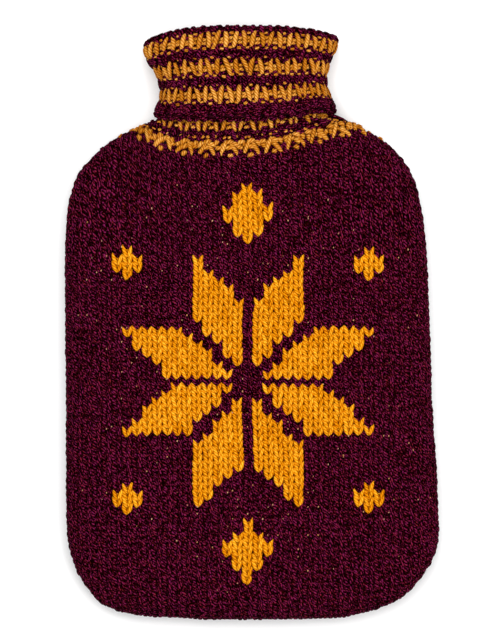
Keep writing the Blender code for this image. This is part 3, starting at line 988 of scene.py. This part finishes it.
FLECKS = 280
FLECK_REACH = 15.0         # how far from golden stitches most of them lie
FLECK_FADING = 2.5         # how much sooner they thin out along the columns than across them
FLECK_ACROSS = 0.5         # of a stitch: half of them lie so far to the side
FLECK_ALONG = (0.15, 0.9)  # of a row: the heights at which they lie
FLECK_ABOVE, FLECK_TURN = -0.15, 1.4
FLECK_SIZE = (0.52, 0.45, 0.8)


def star_flecks(across, along, in_star, gauge, rng):
    """Specks of golden yarn that show between burgundy stitches where it is carried behind them."""
    off_x = np.abs(across[:, None] - across[in_star])
    off_y = np.abs(along[:, None] - along[in_star])
    away = np.hypot(off_x, FLECK_FADING * off_y).min(axis=1)
    chance = np.where(in_star, 0.0, np.exp(-away / FLECK_REACH))
    chosen = rng.choice(len(across), FLECKS, replace=False, p=chance / chance.sum())
    aside = np.where(rng.random(FLECKS) < 0.5, 0.0, FLECK_ACROSS)
    middle = across[chosen] + aside * gauge.stitch_width / MM
    high = along[chosen] + rng.choice(FLECK_ALONG, FLECKS) * gauge.row_height / MM
    wide, tall, thick = FLECK_SIZE
    specks = short_strands(LOOP, middle, high, wide, FLECK_ABOVE, FLECK_TURN, rng)
    return specks._replace(size=specks.size * (1.0, tall, thick))


def fan(column, along):
    """Where the neck's knit columns lie at a height."""
    share = np.clip((along - FAN_LOW) / (FAN_HIGH - FAN_LOW), 0.0, 1.0)
    low = FAN_LOW_MIDDLE + FAN_LOW_PITCH * column
    high = FAN_HIGH_MIDDLE + FAN_HIGH_PITCH * column
    return low + (high - low) * share


SAG_START, SAG_BEND = 28.0, 0.015      # of the upper neck stripe's right end
SAG_REACH, SAG_ABOVE = 18.0, 108.0     # how far it goes on, and the height of the rows that have it


def sag(across, high):
    """How much lower the neck's upper rows hang at the right end."""
    off = np.clip(across - SAG_START, 0.0, SAG_REACH)
    return np.where(high > SAG_ABOVE, SAG_BEND * off**2, 0.0)


SLOPE_PER_COLUMN, SLOPE_MOST = 0.24, (-1.05, 0.85)
SLOPE_TOP, SLOPE_RUN = 110.0, 5.0      # the height above which there is none, and how far below it is whole


def mark_slope(column, high):
    """How far the neck's short strands slope down towards the sides, most of all where it widens."""
    share = np.clip((SLOPE_TOP - high) / SLOPE_RUN, 0.0, 1.0)
    return np.clip(SLOPE_PER_COLUMN * column, *SLOPE_MOST) * share


NECK_COLUMNS = np.arange(-7.0, 8.0)
NECK_LEG_TURN = 0.05       # spreads of the turns and places of the neck's strands
NECK_SHIFT_ACROSS, NECK_SHIFT_ALONG = 0.35, 0.3
FILLING_SHIFT, FILLING_TURN = 0.4, 0.3


def neck_knitting(form, rng):
    """The ribbing between the body and the collar, as stitches and whether each is golden."""
    parts, golden = [], []

    def add(stitches, is_golden, end_across, end_along):
        """Keeps the stitches whose start and end both lie far enough inside the seam."""
        margin = np.minimum(form.read(form.margin, stitches.at[:, 0], stitches.at[:, 1]),
                            form.read(form.margin, end_across, end_along))
        is_high = is_golden and end_along.mean() > FAN_HIGH
        inside = margin > (NECK_MARGIN if is_high else SEAM_MARGIN)
        parts.append(picked(stitches, inside))
        golden.append(np.full(inside.sum(), is_golden))

    for band in NECK_BANDS:
        start, end = fan(NECK_COLUMNS, band.low), fan(NECK_COLUMNS, band.high)
        turn = scattered(np.arctan2(start - end, band.high - band.low), NECK_LEG_TURN, rng)
        across = scattered(start, NECK_SHIFT_ACROSS, rng)
        along = scattered(band.low - sag(start, band.low), NECK_SHIFT_ALONG, rng)
        tall = np.hypot(start - end, band.high - band.low) / RIB_LEG_TALL
        legs = knit_legs(band.shapes, across, along, tall, band.above, turn, rng)
        add(legs, band.golden, np.tile(end, 2), np.full(len(legs.at), band.high))
    for mark in NECK_MARKS:
        column = NECK_COLUMNS + mark.share
        across = scattered(fan(column, mark.high), NECK_SHIFT_ACROSS, rng)
        along = scattered(mark.high - sag(across, mark.high), NECK_SHIFT_ALONG, rng)
        turn = mark.turn - mark_slope(column, mark.high)
        strands = short_strands(mark.strand, across, along, mark.wide, mark.above, turn, rng, mark.fat)
        add(strands, mark.golden, across, along)
    for high in np.arange(*NECK_FILLING):
        is_golden = GOLDEN_FILLING[0] < high < GOLDEN_FILLING[1]
        for share in FILLING_SHARES:
            column = NECK_COLUMNS + share
            across = scattered(fan(column, high), FILLING_SHIFT, rng)
            turn = scattered(-mark_slope(column, high), FILLING_TURN, rng)
            along = scattered(high - sag(across, high), FILLING_SHIFT, rng)
            filling = short_strands(BAR, across, along, 1.0, FILLING_DEPTH, turn, rng)
            add(filling, is_golden, across, along)
    return joined(parts), np.concatenate(golden)


def burgundy_bands(name, stitches, count, salt):
    """Burgundy stitches cut into bands of rows, so that no piece is too heavy."""
    cuts = np.quantile(stitches.at[:, 1], np.linspace(0, 1, count + 1))
    cuts[0], cuts[-1] = -np.inf, np.inf
    batches = []
    for number in range(count):
        inside = (stitches.at[:, 1] > cuts[number]) & (stitches.at[:, 1] <= cuts[number + 1])
        batches.append(Batch(f"{name}_{number + 1}", picked(stitches, inside), "burgundy_wool",
                             salt + number, "burgundy_yarn"))
    return batches


GROUND_FACE = -2.0         # outer face of the cloth behind the stitches
FRONT_LIFT = -0.75         # how far the strands' middles lie off the panel's outer face
BACK_LIFT = -1.05
BACK_SQUEEZE = 0.85        # the cover lies on its back, which presses the strands flatter
GROUND_ROWS, GROUND_COLUMNS = 60, 36
NUDGE = 0.02               # over which the slope of a face is measured


def ground_piece(name, points, faces):
    """The cloth behind a piece's stitches, from its points in space."""
    mesh = bpy.data.meshes.new(name)
    mesh.from_pydata((points.reshape(-1, 3) * MM).tolist(), [], faces)
    mesh.shade_smooth()
    mesh.materials.append(yarns()["burgundy_shade"])
    return finished(name, mesh)


def panel_ground(name, is_front):
    """The cloth behind a panel's stitches: a thin shell that bends over to the seam, open at the neck."""
    rows, columns = GROUND_ROWS, GROUND_COLUMNS
    stations = panel_stations(rows)
    share = (1 + np.sin(np.linspace(-np.pi / 2, np.pi / 2, columns))) / 2
    x = stations[:, LEFT:LEFT + 1] + share * (stations[:, RIGHT:RIGHT + 1] - stations[:, LEFT:LEFT + 1])
    y = np.repeat(stations[:, Y:Y + 1], columns, axis=1)

    def height(at_x, at_y):
        """Height of the panel's outer face."""
        plan = np.stack([at_x.ravel(), at_y.ravel()], axis=1)
        depth = np.maximum(nearest_on_seam(plan)[2], 0.0).reshape(at_x.shape)
        return panel_height(at_x, at_y, edge_rise(depth, section_at(at_y)[TURN]), is_front)

    up = 1.0 if is_front else -1.0
    slope_x = height(x + NUDGE, y) - height(x - NUDGE, y)
    slope_y = height(x, y + NUDGE) - height(x, y - NUDGE)
    normals = np.stack([-up * slope_x, -up * slope_y, np.full(x.shape, up * 2 * NUDGE)], axis=2)
    for column, outward in ((0, -1.0), (-1, 1.0)):
        run = np.gradient(np.stack([x[:, column], y[:, column]], axis=1), axis=0)
        normals[:, column] = np.stack([outward * run[:, 1], -outward * run[:, 0], 0 * run[:, 0]], axis=1)
    normals[0] = (0.0, -1.0, 0.0)
    normals /= np.linalg.norm(normals, axis=2, keepdims=True)

    surface = np.stack([x, y, height(x, y)], axis=2)
    outer = surface + GROUND_FACE * normals
    inner = surface - PANEL_WALL * normals
    outer[-1, :, 1] = inner[-1, :, 1] = NECK_END_Y
    count = rows * columns
    faces = grid_faces(rows, columns, 0, not is_front) + grid_faces(rows, columns, count, is_front)
    index = np.arange(count).reshape(rows, columns)
    border = np.concatenate([index[0, :-1], index[:-1, -1], index[-1, :0:-1], index[:0:-1, 0]]).tolist()
    for here, there in zip(border, border[1:] + border[:1]):
        rim = (here, here + count, there + count, there)
        faces.append(rim if is_front else rim[::-1])
    return ground_piece(name, np.stack([outer, inner]), faces)


COLLAR_BAND = 7.98         # height of a stripe, which is two rows
COLLAR_FIRST = 5.92        # middle of the first stripe above the free edge
COLLAR_BANDS = 12
COLLAR_LIFT = -0.6
COLLAR_LEG_TOP = 5.0       # how far above a stripe's middle its legs start
COLLAR_DRIFT = (0.6, 0.8)  # shares of the panels' drift that its columns and rows have
COLLAR_LEG_TURN, COLLAR_SHIFT = 0.06, 0.25     # spreads of its legs' turns and short strands' places
COLLAR_LEG_ABOVE = 0.2

# The short strands of each golden and each burgundy stripe, with their heights off the stripe's middle.
GOLD_BAND_MARKS = (
    Mark(0.0, -2.2, BAR, 0.80, -0.25, 0.0, True), Mark(0.0, -0.4, BAR, 0.75, -0.45, 0.1, True),
    Mark(0.5, 0.2, BAR, 0.75, -0.35, 0.0, True), Mark(0.5, -1.6, BAR, 0.70, -0.45, 0.1, True),
    Mark(0.5, 5.4, LOOP, 1.1, 0.1, 0.0, True), Mark(0.5, -5.0, LOOP, 1.05, 0.1, 0.0, True),
    Mark(0.0, -5.4, LOOP, 1.25, 0.4, 0.0, True), Mark(0.5, 2.5, BAR, 0.9, -0.6, 0.3, False),
    Mark(0.5, -3.2, BAR, 0.9, -0.6, -0.3, False), Mark(0.0, 2.2, LOOP, 1.2, 0.0, 0.0, False),
    Mark(0.0, -4.0, BAR, 0.7, -0.3, 0.0, False),
)
PLAIN_BAND_MARKS = (
    Mark(0.0, -1.2, BAR, 0.8, -0.4, 0.1, False), Mark(0.5, 1.6, BAR, 1.0, -0.1, -0.3, False),
    Mark(0.5, -0.2, BAR, 1.0, -0.1, 0.3, False), Mark(0.5, -2.0, BAR, 1.0, -0.1, -0.3, False),
    Mark(0.5, 3.4, BAR, 0.9, -0.6, 0.0, False), Mark(0.0, 1.2, BAR, 0.8, -0.6, 0.0, False),
    Mark(0.0, -3.2, BAR, 0.8, -0.6, 0.0, False),
)
CREST = COLLAR_FRONT_RUN + 2.5         # of the fold, where no golden loop lies
CREST_REACH = 9.0


def collar_knitting(rng):
    """The turned-down ribbing, upside down from the fold to its free edge and right way up inside."""
    pitch = COLLAR_GIRTH / RIB_PAIRS
    column, band = lattice(np.arange(RIB_PAIRS), np.arange(COLLAR_BANDS))
    middle = COLLAR_FIRST + band * COLLAR_BAND
    du, dv = (share * way for share, way in zip(COLLAR_DRIFT, drift(column * pitch, middle)))
    gold_band = band % 2 == 1
    turn = scattered(np.full(len(band), np.pi), COLLAR_LEG_TURN, rng)
    parts = [knit_legs(RIB_LEGS, column * pitch + du, middle + dv + COLLAR_LEG_TOP, 1.0, COLLAR_LEG_ABOVE,
                       turn, rng)]
    golden = [np.tile(gold_band, 2)]
    for marks, mask in ((GOLD_BAND_MARKS, gold_band), (PLAIN_BAND_MARKS, ~gold_band)):
        for mark in marks:
            across = scattered((column[mask] + mark.share) * pitch + du[mask], COLLAR_SHIFT, rng)
            along = scattered(middle[mask] + dv[mask] + mark.high, COLLAR_SHIFT, rng)
            if mark.golden:
                side = np.where(along < CREST, -CREST_REACH / 3, CREST_REACH)
                along = np.where(np.abs(along - CREST) < np.abs(side), CREST + side, along)
            parts.append(short_strands(mark.strand, across, along, mark.wide, mark.above, mark.turn, rng))
            golden.append(np.full(len(across), mark.golden))
    return joined(parts), np.concatenate(golden)


# The cast-off edge's lines of strands: how far up from the edge, how far out, how they turn, which strand.
EDGE_LINES = (
    (4.6, 0.2, 0.9, RIGHT_LEG), (2.8, 0.3, 1.2, RIGHT_LEG), (1.0, 0.4, 1.5, RIGHT_LEG),
    (-0.8, 0.4, 1.9, LEFT_LEG), (-2.8, 0.1, 1.3, RIGHT_LEG), (-4.8, -0.1, 1.75, LEFT_LEG),
)
EDGE_TALL = 0.8
EDGE_SHIFT, EDGE_TURN = 0.4, 0.2       # spreads of their places and turns


def collar_edge(rng):
    """The cast-off edge round the collar: lines of short strands that lean along it."""
    count = 2 * RIB_PAIRS
    across = (np.arange(count) + 0.5) * COLLAR_GIRTH / count
    parts = []
    for along, above, turn, shape in EDGE_LINES:
        high = scattered(np.full(count, along), EDGE_SHIFT, rng)
        middle = np.stack([across, high, np.full(count, above)], axis=1)
        tone = tones(count, rng)
        turns = scattered(np.full(count, turn), EDGE_TURN, rng)
        size = np.tile((1.0, EDGE_TALL, 1.0), (count, 1))
        parts.append(Stitches(middle, np.full(count, shape), turns, size, tone))
    return joined(parts)


# How many loops of points the collar's cloth has up its outside, over the fold, inside and under the layer.
OUTSIDE_LOOPS, FOLD_LOOPS, INSIDE_LOOPS, UNDER_LOOPS = 14, 9, 9, 12


def collar_ground():
    """The cloth behind the collar's stitches: two layers joined over the fold."""
    columns = 4 * RIB_PAIRS
    angles, lengths = collar_turns()
    angle = np.interp(np.arange(columns) / columns * COLLAR_GIRTH, lengths, angles)
    tube_face = COLLAR_WALL + COLLAR_LAYER_GAP
    outside, inside = -GROUND_FACE, tube_face + TUBE_WALL + GROUND_FACE
    radius, middle = (inside - outside) / 2, (inside + outside) / 2
    profile = [(False, share, outside, 0.0) for share in np.linspace(0.0, 1.0, OUTSIDE_LOOPS)]
    for sweep in np.linspace(0.0, np.pi, FOLD_LOOPS)[1:-1]:
        profile.append((False, 1.0, middle - radius * np.cos(sweep), radius * np.sin(sweep)))
    profile += [(True, share, inside, 0.0) for share in np.linspace(1.0, 0.0, INSIDE_LOOPS)]
    profile += [(True, share, tube_face, 0.0) for share in np.linspace(0.0, 1.0, INSIDE_LOOPS)]
    profile.append((False, 1.0, COLLAR_WALL + COLLAR_LAYER_GAP / 2, COLLAR_LAYER_GAP / 2))
    profile += [(False, share, COLLAR_WALL, 0.0) for share in np.linspace(1.0, 0.0, UNDER_LOOPS)]
    points = np.array([collar_point(angle, share, inset, lift, from_tube)
                       for from_tube, share, inset, lift in profile])
    index = np.arange(points.shape[0] * columns).reshape(points.shape[:2])
    right_of, above = np.roll(index, -1, axis=1), np.roll(index, -1, axis=0)
    faces = np.stack([index, above, np.roll(above, -1, axis=1), right_of], axis=2).reshape(-1, 4)
    return ground_piece("collar_ground", points, faces.tolist())


# ---------------------------------------------------------------------------------------------------
# Settings.

def length_setting(name, description, default, least, most):
    """A length in metres."""
    return FloatProperty(name=name, description=description, default=default, min=least, max=most,
                         subtype="DISTANCE", unit="LENGTH", precision=5)


def colour_setting(name, description, red, green, blue):
    """An opaque colour."""
    return FloatVectorProperty(name=name, description=description, size=4, subtype="COLOR",
                               default=(red, green, blue, 1.0), min=0.0, max=1.0)


def power_setting(name, description, default):
    """A lamp's power in watts."""
    return FloatProperty(name=name, description=description, default=default, min=0.0, unit="POWER")


class CoverGauge(bpy.types.PropertyGroup):
    """How the cover is knitted."""

    stitch_width: length_setting("Stitch Width", "Width of a stitch of the body", 0.00588, 0.002, 0.02)
    row_height: length_setting("Row Height", "Height of a row of the body", 0.00414, 0.002, 0.02)
    yarn_width: length_setting("Yarn Width", "Width of a strand in the fabric", 0.0027, 0.001, 0.01)
    yarn_depth: length_setting("Yarn Depth", "Thickness of a strand in the fabric", 0.0021, 0.001, 0.01)
    unevenness: FloatProperty(
        name="Unevenness", description="How much the stitches differ, where 1 is even hand knitting",
        default=1.3, min=0.0, max=4.0)
    seed: IntProperty(
        name="Seed", description="Starts the chance differences between stitches", default=11, min=0)


class CoverStar(bpy.types.PropertyGroup):
    """The golden star on the front."""

    lozenge: length_setting("Lozenge Side", "Side of each of the star's lozenges", 0.0435, 0.01, 0.06)
    gap: length_setting("Gap", "Burgundy line left between its lozenges", 0.0055, 0.0, 0.02)


class CoverDyes(bpy.types.PropertyGroup):
    """The colours of the two yarns."""

    # Each yarn's deep colour is where its dye runs in painted shade, in the ply grooves and at the strand's
    # sides, along with its darkest random fibres; its bright colour is where it runs in painted highlight on
    # the ply crests, along with its lightest fibres.
    burgundy_deep: colour_setting("Deep Burgundy", "Darkest burgundy fibres", 0.0022, 0.00001, 0.00004)
    burgundy: colour_setting("Burgundy", "Main colour of the burgundy yarn", 0.023, 0.00003, 0.0009)
    burgundy_bright: colour_setting("Bright Burgundy", "Lightest burgundy fibres", 0.160, 0.0095, 0.044)
    gold_deep: colour_setting("Deep Gold", "Darkest golden fibres", 0.21, 0.030, 0.0003)
    gold: colour_setting("Gold", "Main colour of the golden yarn", 0.60, 0.195, 0.0010)
    gold_bright: colour_setting("Bright Gold", "Lightest golden fibres", 0.79, 0.40, 0.024)
    # The ribbing's gold is a copy of the body's gold, darker in its deep and main colours as painted shade
    # on the ribbed collar and neck, and paler and creamier at its brightest.
    rib_deep: colour_setting("Deep Rib Gold", "Darkest golden fibres of the ribbing", 0.10, 0.017, 0.0012)
    rib: colour_setting("Rib Gold", "Main colour of the ribbing's golden yarn", 0.42, 0.135, 0.006)
    rib_bright: colour_setting("Bright Rib Gold", "Lightest golden fibres of the ribbing", 0.72, 0.37, 0.085)


class CoverStage(bpy.types.PropertyGroup):
    """The floor, lights and camera."""

    floor_colour: colour_setting("Floor", "Colour of the floor", 0.93, 0.93, 0.93)
    key_power: power_setting("Key Light", "Power of the main soft light", 22.5)
    fill_power: power_setting("Fill Light", "Power of the second soft light", 12.0)
    air: FloatProperty(
        name="Room Light", description="Strength of the even light all round", default=0.55, min=0.0)
    camera_height: FloatProperty(
        name="Camera Height", description="Height of the camera above the floor", default=5.0, min=0.5,
        subtype="DISTANCE", unit="LENGTH")


# ---------------------------------------------------------------------------------------------------
# Operators.


class COVER_OT_front_panel(bpy.types.Operator):
    """Knits the front panel with its golden star"""

    bl_idname = "cover.front_panel"
    bl_label = "Knit Front Panel"

    def execute(self, context):
        gauge = context.scene.cover_gauge
        rng = np.random.default_rng(gauge.seed)
        form = panel_map(is_front=True)
        across, along, legs = body_knitting(gauge, form, rng)
        in_star = in_pattern(across, along, context.scene.cover_star)
        golden = np.tile(in_star, 2)
        backing = star_backing(across[in_star], along[in_star], gauge, rng)
        neck, neck_golden = neck_knitting(form, rng)
        flecks = star_flecks(across, along, in_star, gauge, rng)
        seam = seam_knitting(form, rng)
        plain = joined([picked(legs, ~golden), picked(neck, ~neck_golden), seam])
        batches = [
            Batch("front_stitches_star", joined([picked(legs, golden), backing]), "golden_wool", 1,
                  "golden_yarn"),
            Batch("front_stitches_neck", picked(neck, neck_golden), "golden_rib_wool", 6, "golden_yarn"),
            Batch("front_flecks", flecks, "pale_wool", 7, "golden_yarn"),
            *burgundy_bands("front_stitches", plain, 3, 2),
        ]
        pieces = knit(batches, form, gauge, CLOSE, FRONT_LIFT)
        ground = panel_ground("front_ground", True)
        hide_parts("front_panel")
        return {"FINISHED"}


class COVER_OT_back_panel(bpy.types.Operator):
    """Knits the plain back panel"""

    bl_idname = "cover.back_panel"
    bl_label = "Knit Back Panel"

    def execute(self, context):
        gauge = context.scene.cover_gauge
        rng = np.random.default_rng(gauge.seed + 100)
        form = panel_map(is_front=False)
        legs = body_knitting(gauge, form, rng)[2]
        neck, neck_golden = neck_knitting(form, rng)
        plain = joined([legs, picked(neck, ~neck_golden), seam_knitting(form, rng)])
        batches = [
            Batch("back_stitches_neck", picked(neck, neck_golden), "golden_rib_wool", 101, "golden_yarn"),
            *burgundy_bands("back_stitches", plain, 2, 102),
        ]
        pieces = knit(batches, form, gauge, PLAIN, BACK_LIFT, BACK_SQUEEZE)
        ground = panel_ground("back_ground", False)
        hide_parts("back_panel")
        return {"FINISHED"}


class COVER_OT_collar(bpy.types.Operator):
    """Knits the striped ribbed collar, turned down over itself"""

    bl_idname = "cover.collar"
    bl_label = "Knit Collar"

    def execute(self, context):
        gauge = context.scene.cover_gauge
        rng = np.random.default_rng(gauge.seed + 200)
        stitches, golden = collar_knitting(rng)
        plain = joined([picked(stitches, ~golden), collar_edge(rng)])
        batches = [
            Batch("collar_stitches_gold", picked(stitches, golden), "golden_rib_wool", 201, "golden_yarn"),
            Batch("collar_stitches_burgundy", plain, "burgundy_wool", 202, "burgundy_yarn"),
        ]
        pieces = knit(batches, collar_map(), gauge, CLOSE, COLLAR_LIFT)
        ground = collar_ground()
        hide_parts("collar")
        return {"FINISHED"}


# The stage, in metres unless its name or comment says otherwise.
FLOOR_REACH = 15.0
FLOOR_TINT = 0.985         # of the floor's colour, in its darker patches
LAMP_SIZE = 1.2
KEY_PLACE = (-0.18, 0.38, 1.45)
FILL_PLACE = (0.8, -0.5, 1.2)
PHOTO_PITCH = 0.585        # millimetres of the part in one pixel of the photograph
PHOTO_TALL = 640           # pixels
PHOTO_MIDDLE = (-1.3, 1.0)     # millimetres
AIM_HEIGHT = 16.0          # millimetres, of the outline that the photograph shows
SENSOR = 36.0              # millimetres
CAMERA_CLIP = (0.05, 60.0)


def floor_material(colour):
    """A pale matt floor, a little uneven in its tone."""
    material, tree, shader = base_material("pale_floor")
    place = add_node(tree, "ShaderNodeTexCoord").outputs["Object"]
    grain = noise(tree, place, scale=3.0, detail=2.0, roughness=0.5)["Fac"]
    darker = tuple(FLOOR_TINT * value for value in colour[:3]) + (1.0,)
    mix = add_node(tree, "ShaderNodeMix", {0: grain, 6: colour, 7: darker}, data_type="RGBA")
    fill(tree, shader, {"Base Color": mix.outputs[2], "Roughness": 0.9, "Specular IOR Level": 0.1})
    return material


def lay_floor(scene, stage):
    """A level floor under the cover."""
    mesh = bpy.data.meshes.new("floor")
    corners = ((-1, -1, 0), (1, -1, 0), (1, 1, 0), (-1, 1, 0))
    mesh.from_pydata([[FLOOR_REACH * value for value in corner] for corner in corners], [], [(0, 1, 2, 3)])
    mesh.materials.append(floor_material(stage.floor_colour))
    floor = bpy.data.objects.new("floor", mesh)
    scene.collection.objects.link(floor)


def hang_light(scene, name, place, power):
    """A soft square light that faces the cover."""
    lamp = bpy.data.lights.new(name, "AREA")
    lamp.size = LAMP_SIZE
    lamp.energy = power
    lamp_object = bpy.data.objects.new(name, lamp)
    lamp_object.location = place
    aim = -lamp_object.location
    lamp_object.rotation_euler = aim.to_track_quat("-Z", "Y").to_euler()
    scene.collection.objects.link(lamp_object)


def light_room(scene, stage):
    """Even white light all round, and plain colours in the picture."""
    world = bpy.data.worlds.new("room")
    world.use_nodes = True
    background = world.node_tree.nodes["Background"]
    fill(world.node_tree, background, {"Color": (1.0, 1.0, 1.0, 1.0), "Strength": stage.air})
    scene.world = world
    scene.view_settings.view_transform = "Standard"


def set_camera(scene, stage):
    """A camera straight above, whose picture has the photograph's scale."""
    camera = bpy.data.cameras.new("camera")
    camera.sensor_width = SENSOR
    reach = stage.camera_height / MM - AIM_HEIGHT
    camera.lens = SENSOR * reach / (PHOTO_TALL * PHOTO_PITCH)
    camera.clip_start, camera.clip_end = CAMERA_CLIP
    camera_object = bpy.data.objects.new("camera", camera)
    camera_object.location = (PHOTO_MIDDLE[0] * MM, PHOTO_MIDDLE[1] * MM, stage.camera_height)
    scene.collection.objects.link(camera_object)
    scene.camera = camera_object


class COVER_OT_stage(bpy.types.Operator):
    """Lays the pale floor, hangs the soft lights and sets the camera above"""

    bl_idname = "cover.stage"
    bl_label = "Set Stage"

    def execute(self, context):
        scene = context.scene
        stage = scene.cover_stage
        lay_floor(scene, stage)
        hang_light(scene, "key_light", KEY_PLACE, stage.key_power)
        hang_light(scene, "fill_light", FILL_PLACE, stage.fill_power)
        light_room(scene, stage)
        set_camera(scene, stage)
        return {"FINISHED"}


class COVER_PT_knitting(bpy.types.Panel):
    """The cover's settings and the steps that make it"""

    bl_idname = "COVER_PT_knitting"
    bl_label = "Knitted Bottle Cover"
    bl_space_type = "VIEW_3D"
    bl_region_type = "UI"
    bl_category = "Knitting"

    def draw(self, context):
        for label, group in (("Gauge", "cover_gauge"), ("Star", "cover_star"), ("Dyes", "cover_dyes"),
                             ("Stage", "cover_stage")):
            box = self.layout.box()
            box.label(text=label)
            settings = getattr(context.scene, group)
            for name in type(settings).__annotations__:
                box.prop(settings, name)
        for step in STEPS:
            self.layout.operator(step.bl_idname)


GROUPS = {
    "cover_gauge": CoverGauge, "cover_star": CoverStar, "cover_dyes": CoverDyes, "cover_stage": CoverStage,
}
STEPS = (COVER_OT_front_panel, COVER_OT_back_panel, COVER_OT_collar, COVER_OT_stage)


def register():
    for group in GROUPS.values():
        bpy.utils.register_class(group)
    for name, group in GROUPS.items():
        setattr(bpy.types.Scene, name, PointerProperty(type=group))
    for step in STEPS:
        bpy.utils.register_class(step)
    bpy.utils.register_class(COVER_PT_knitting)


def unregister():
    bpy.utils.unregister_class(COVER_PT_knitting)
    for step in reversed(STEPS):
        bpy.utils.unregister_class(step)
    for name, group in GROUPS.items():
        delattr(bpy.types.Scene, name)
        bpy.utils.unregister_class(group)


def main():
    register()
    bpy.ops.cover.front_panel()
    bpy.ops.cover.back_panel()
    bpy.ops.cover.collar()
    bpy.ops.cover.stage()


if __name__ == "__main__":
    main()
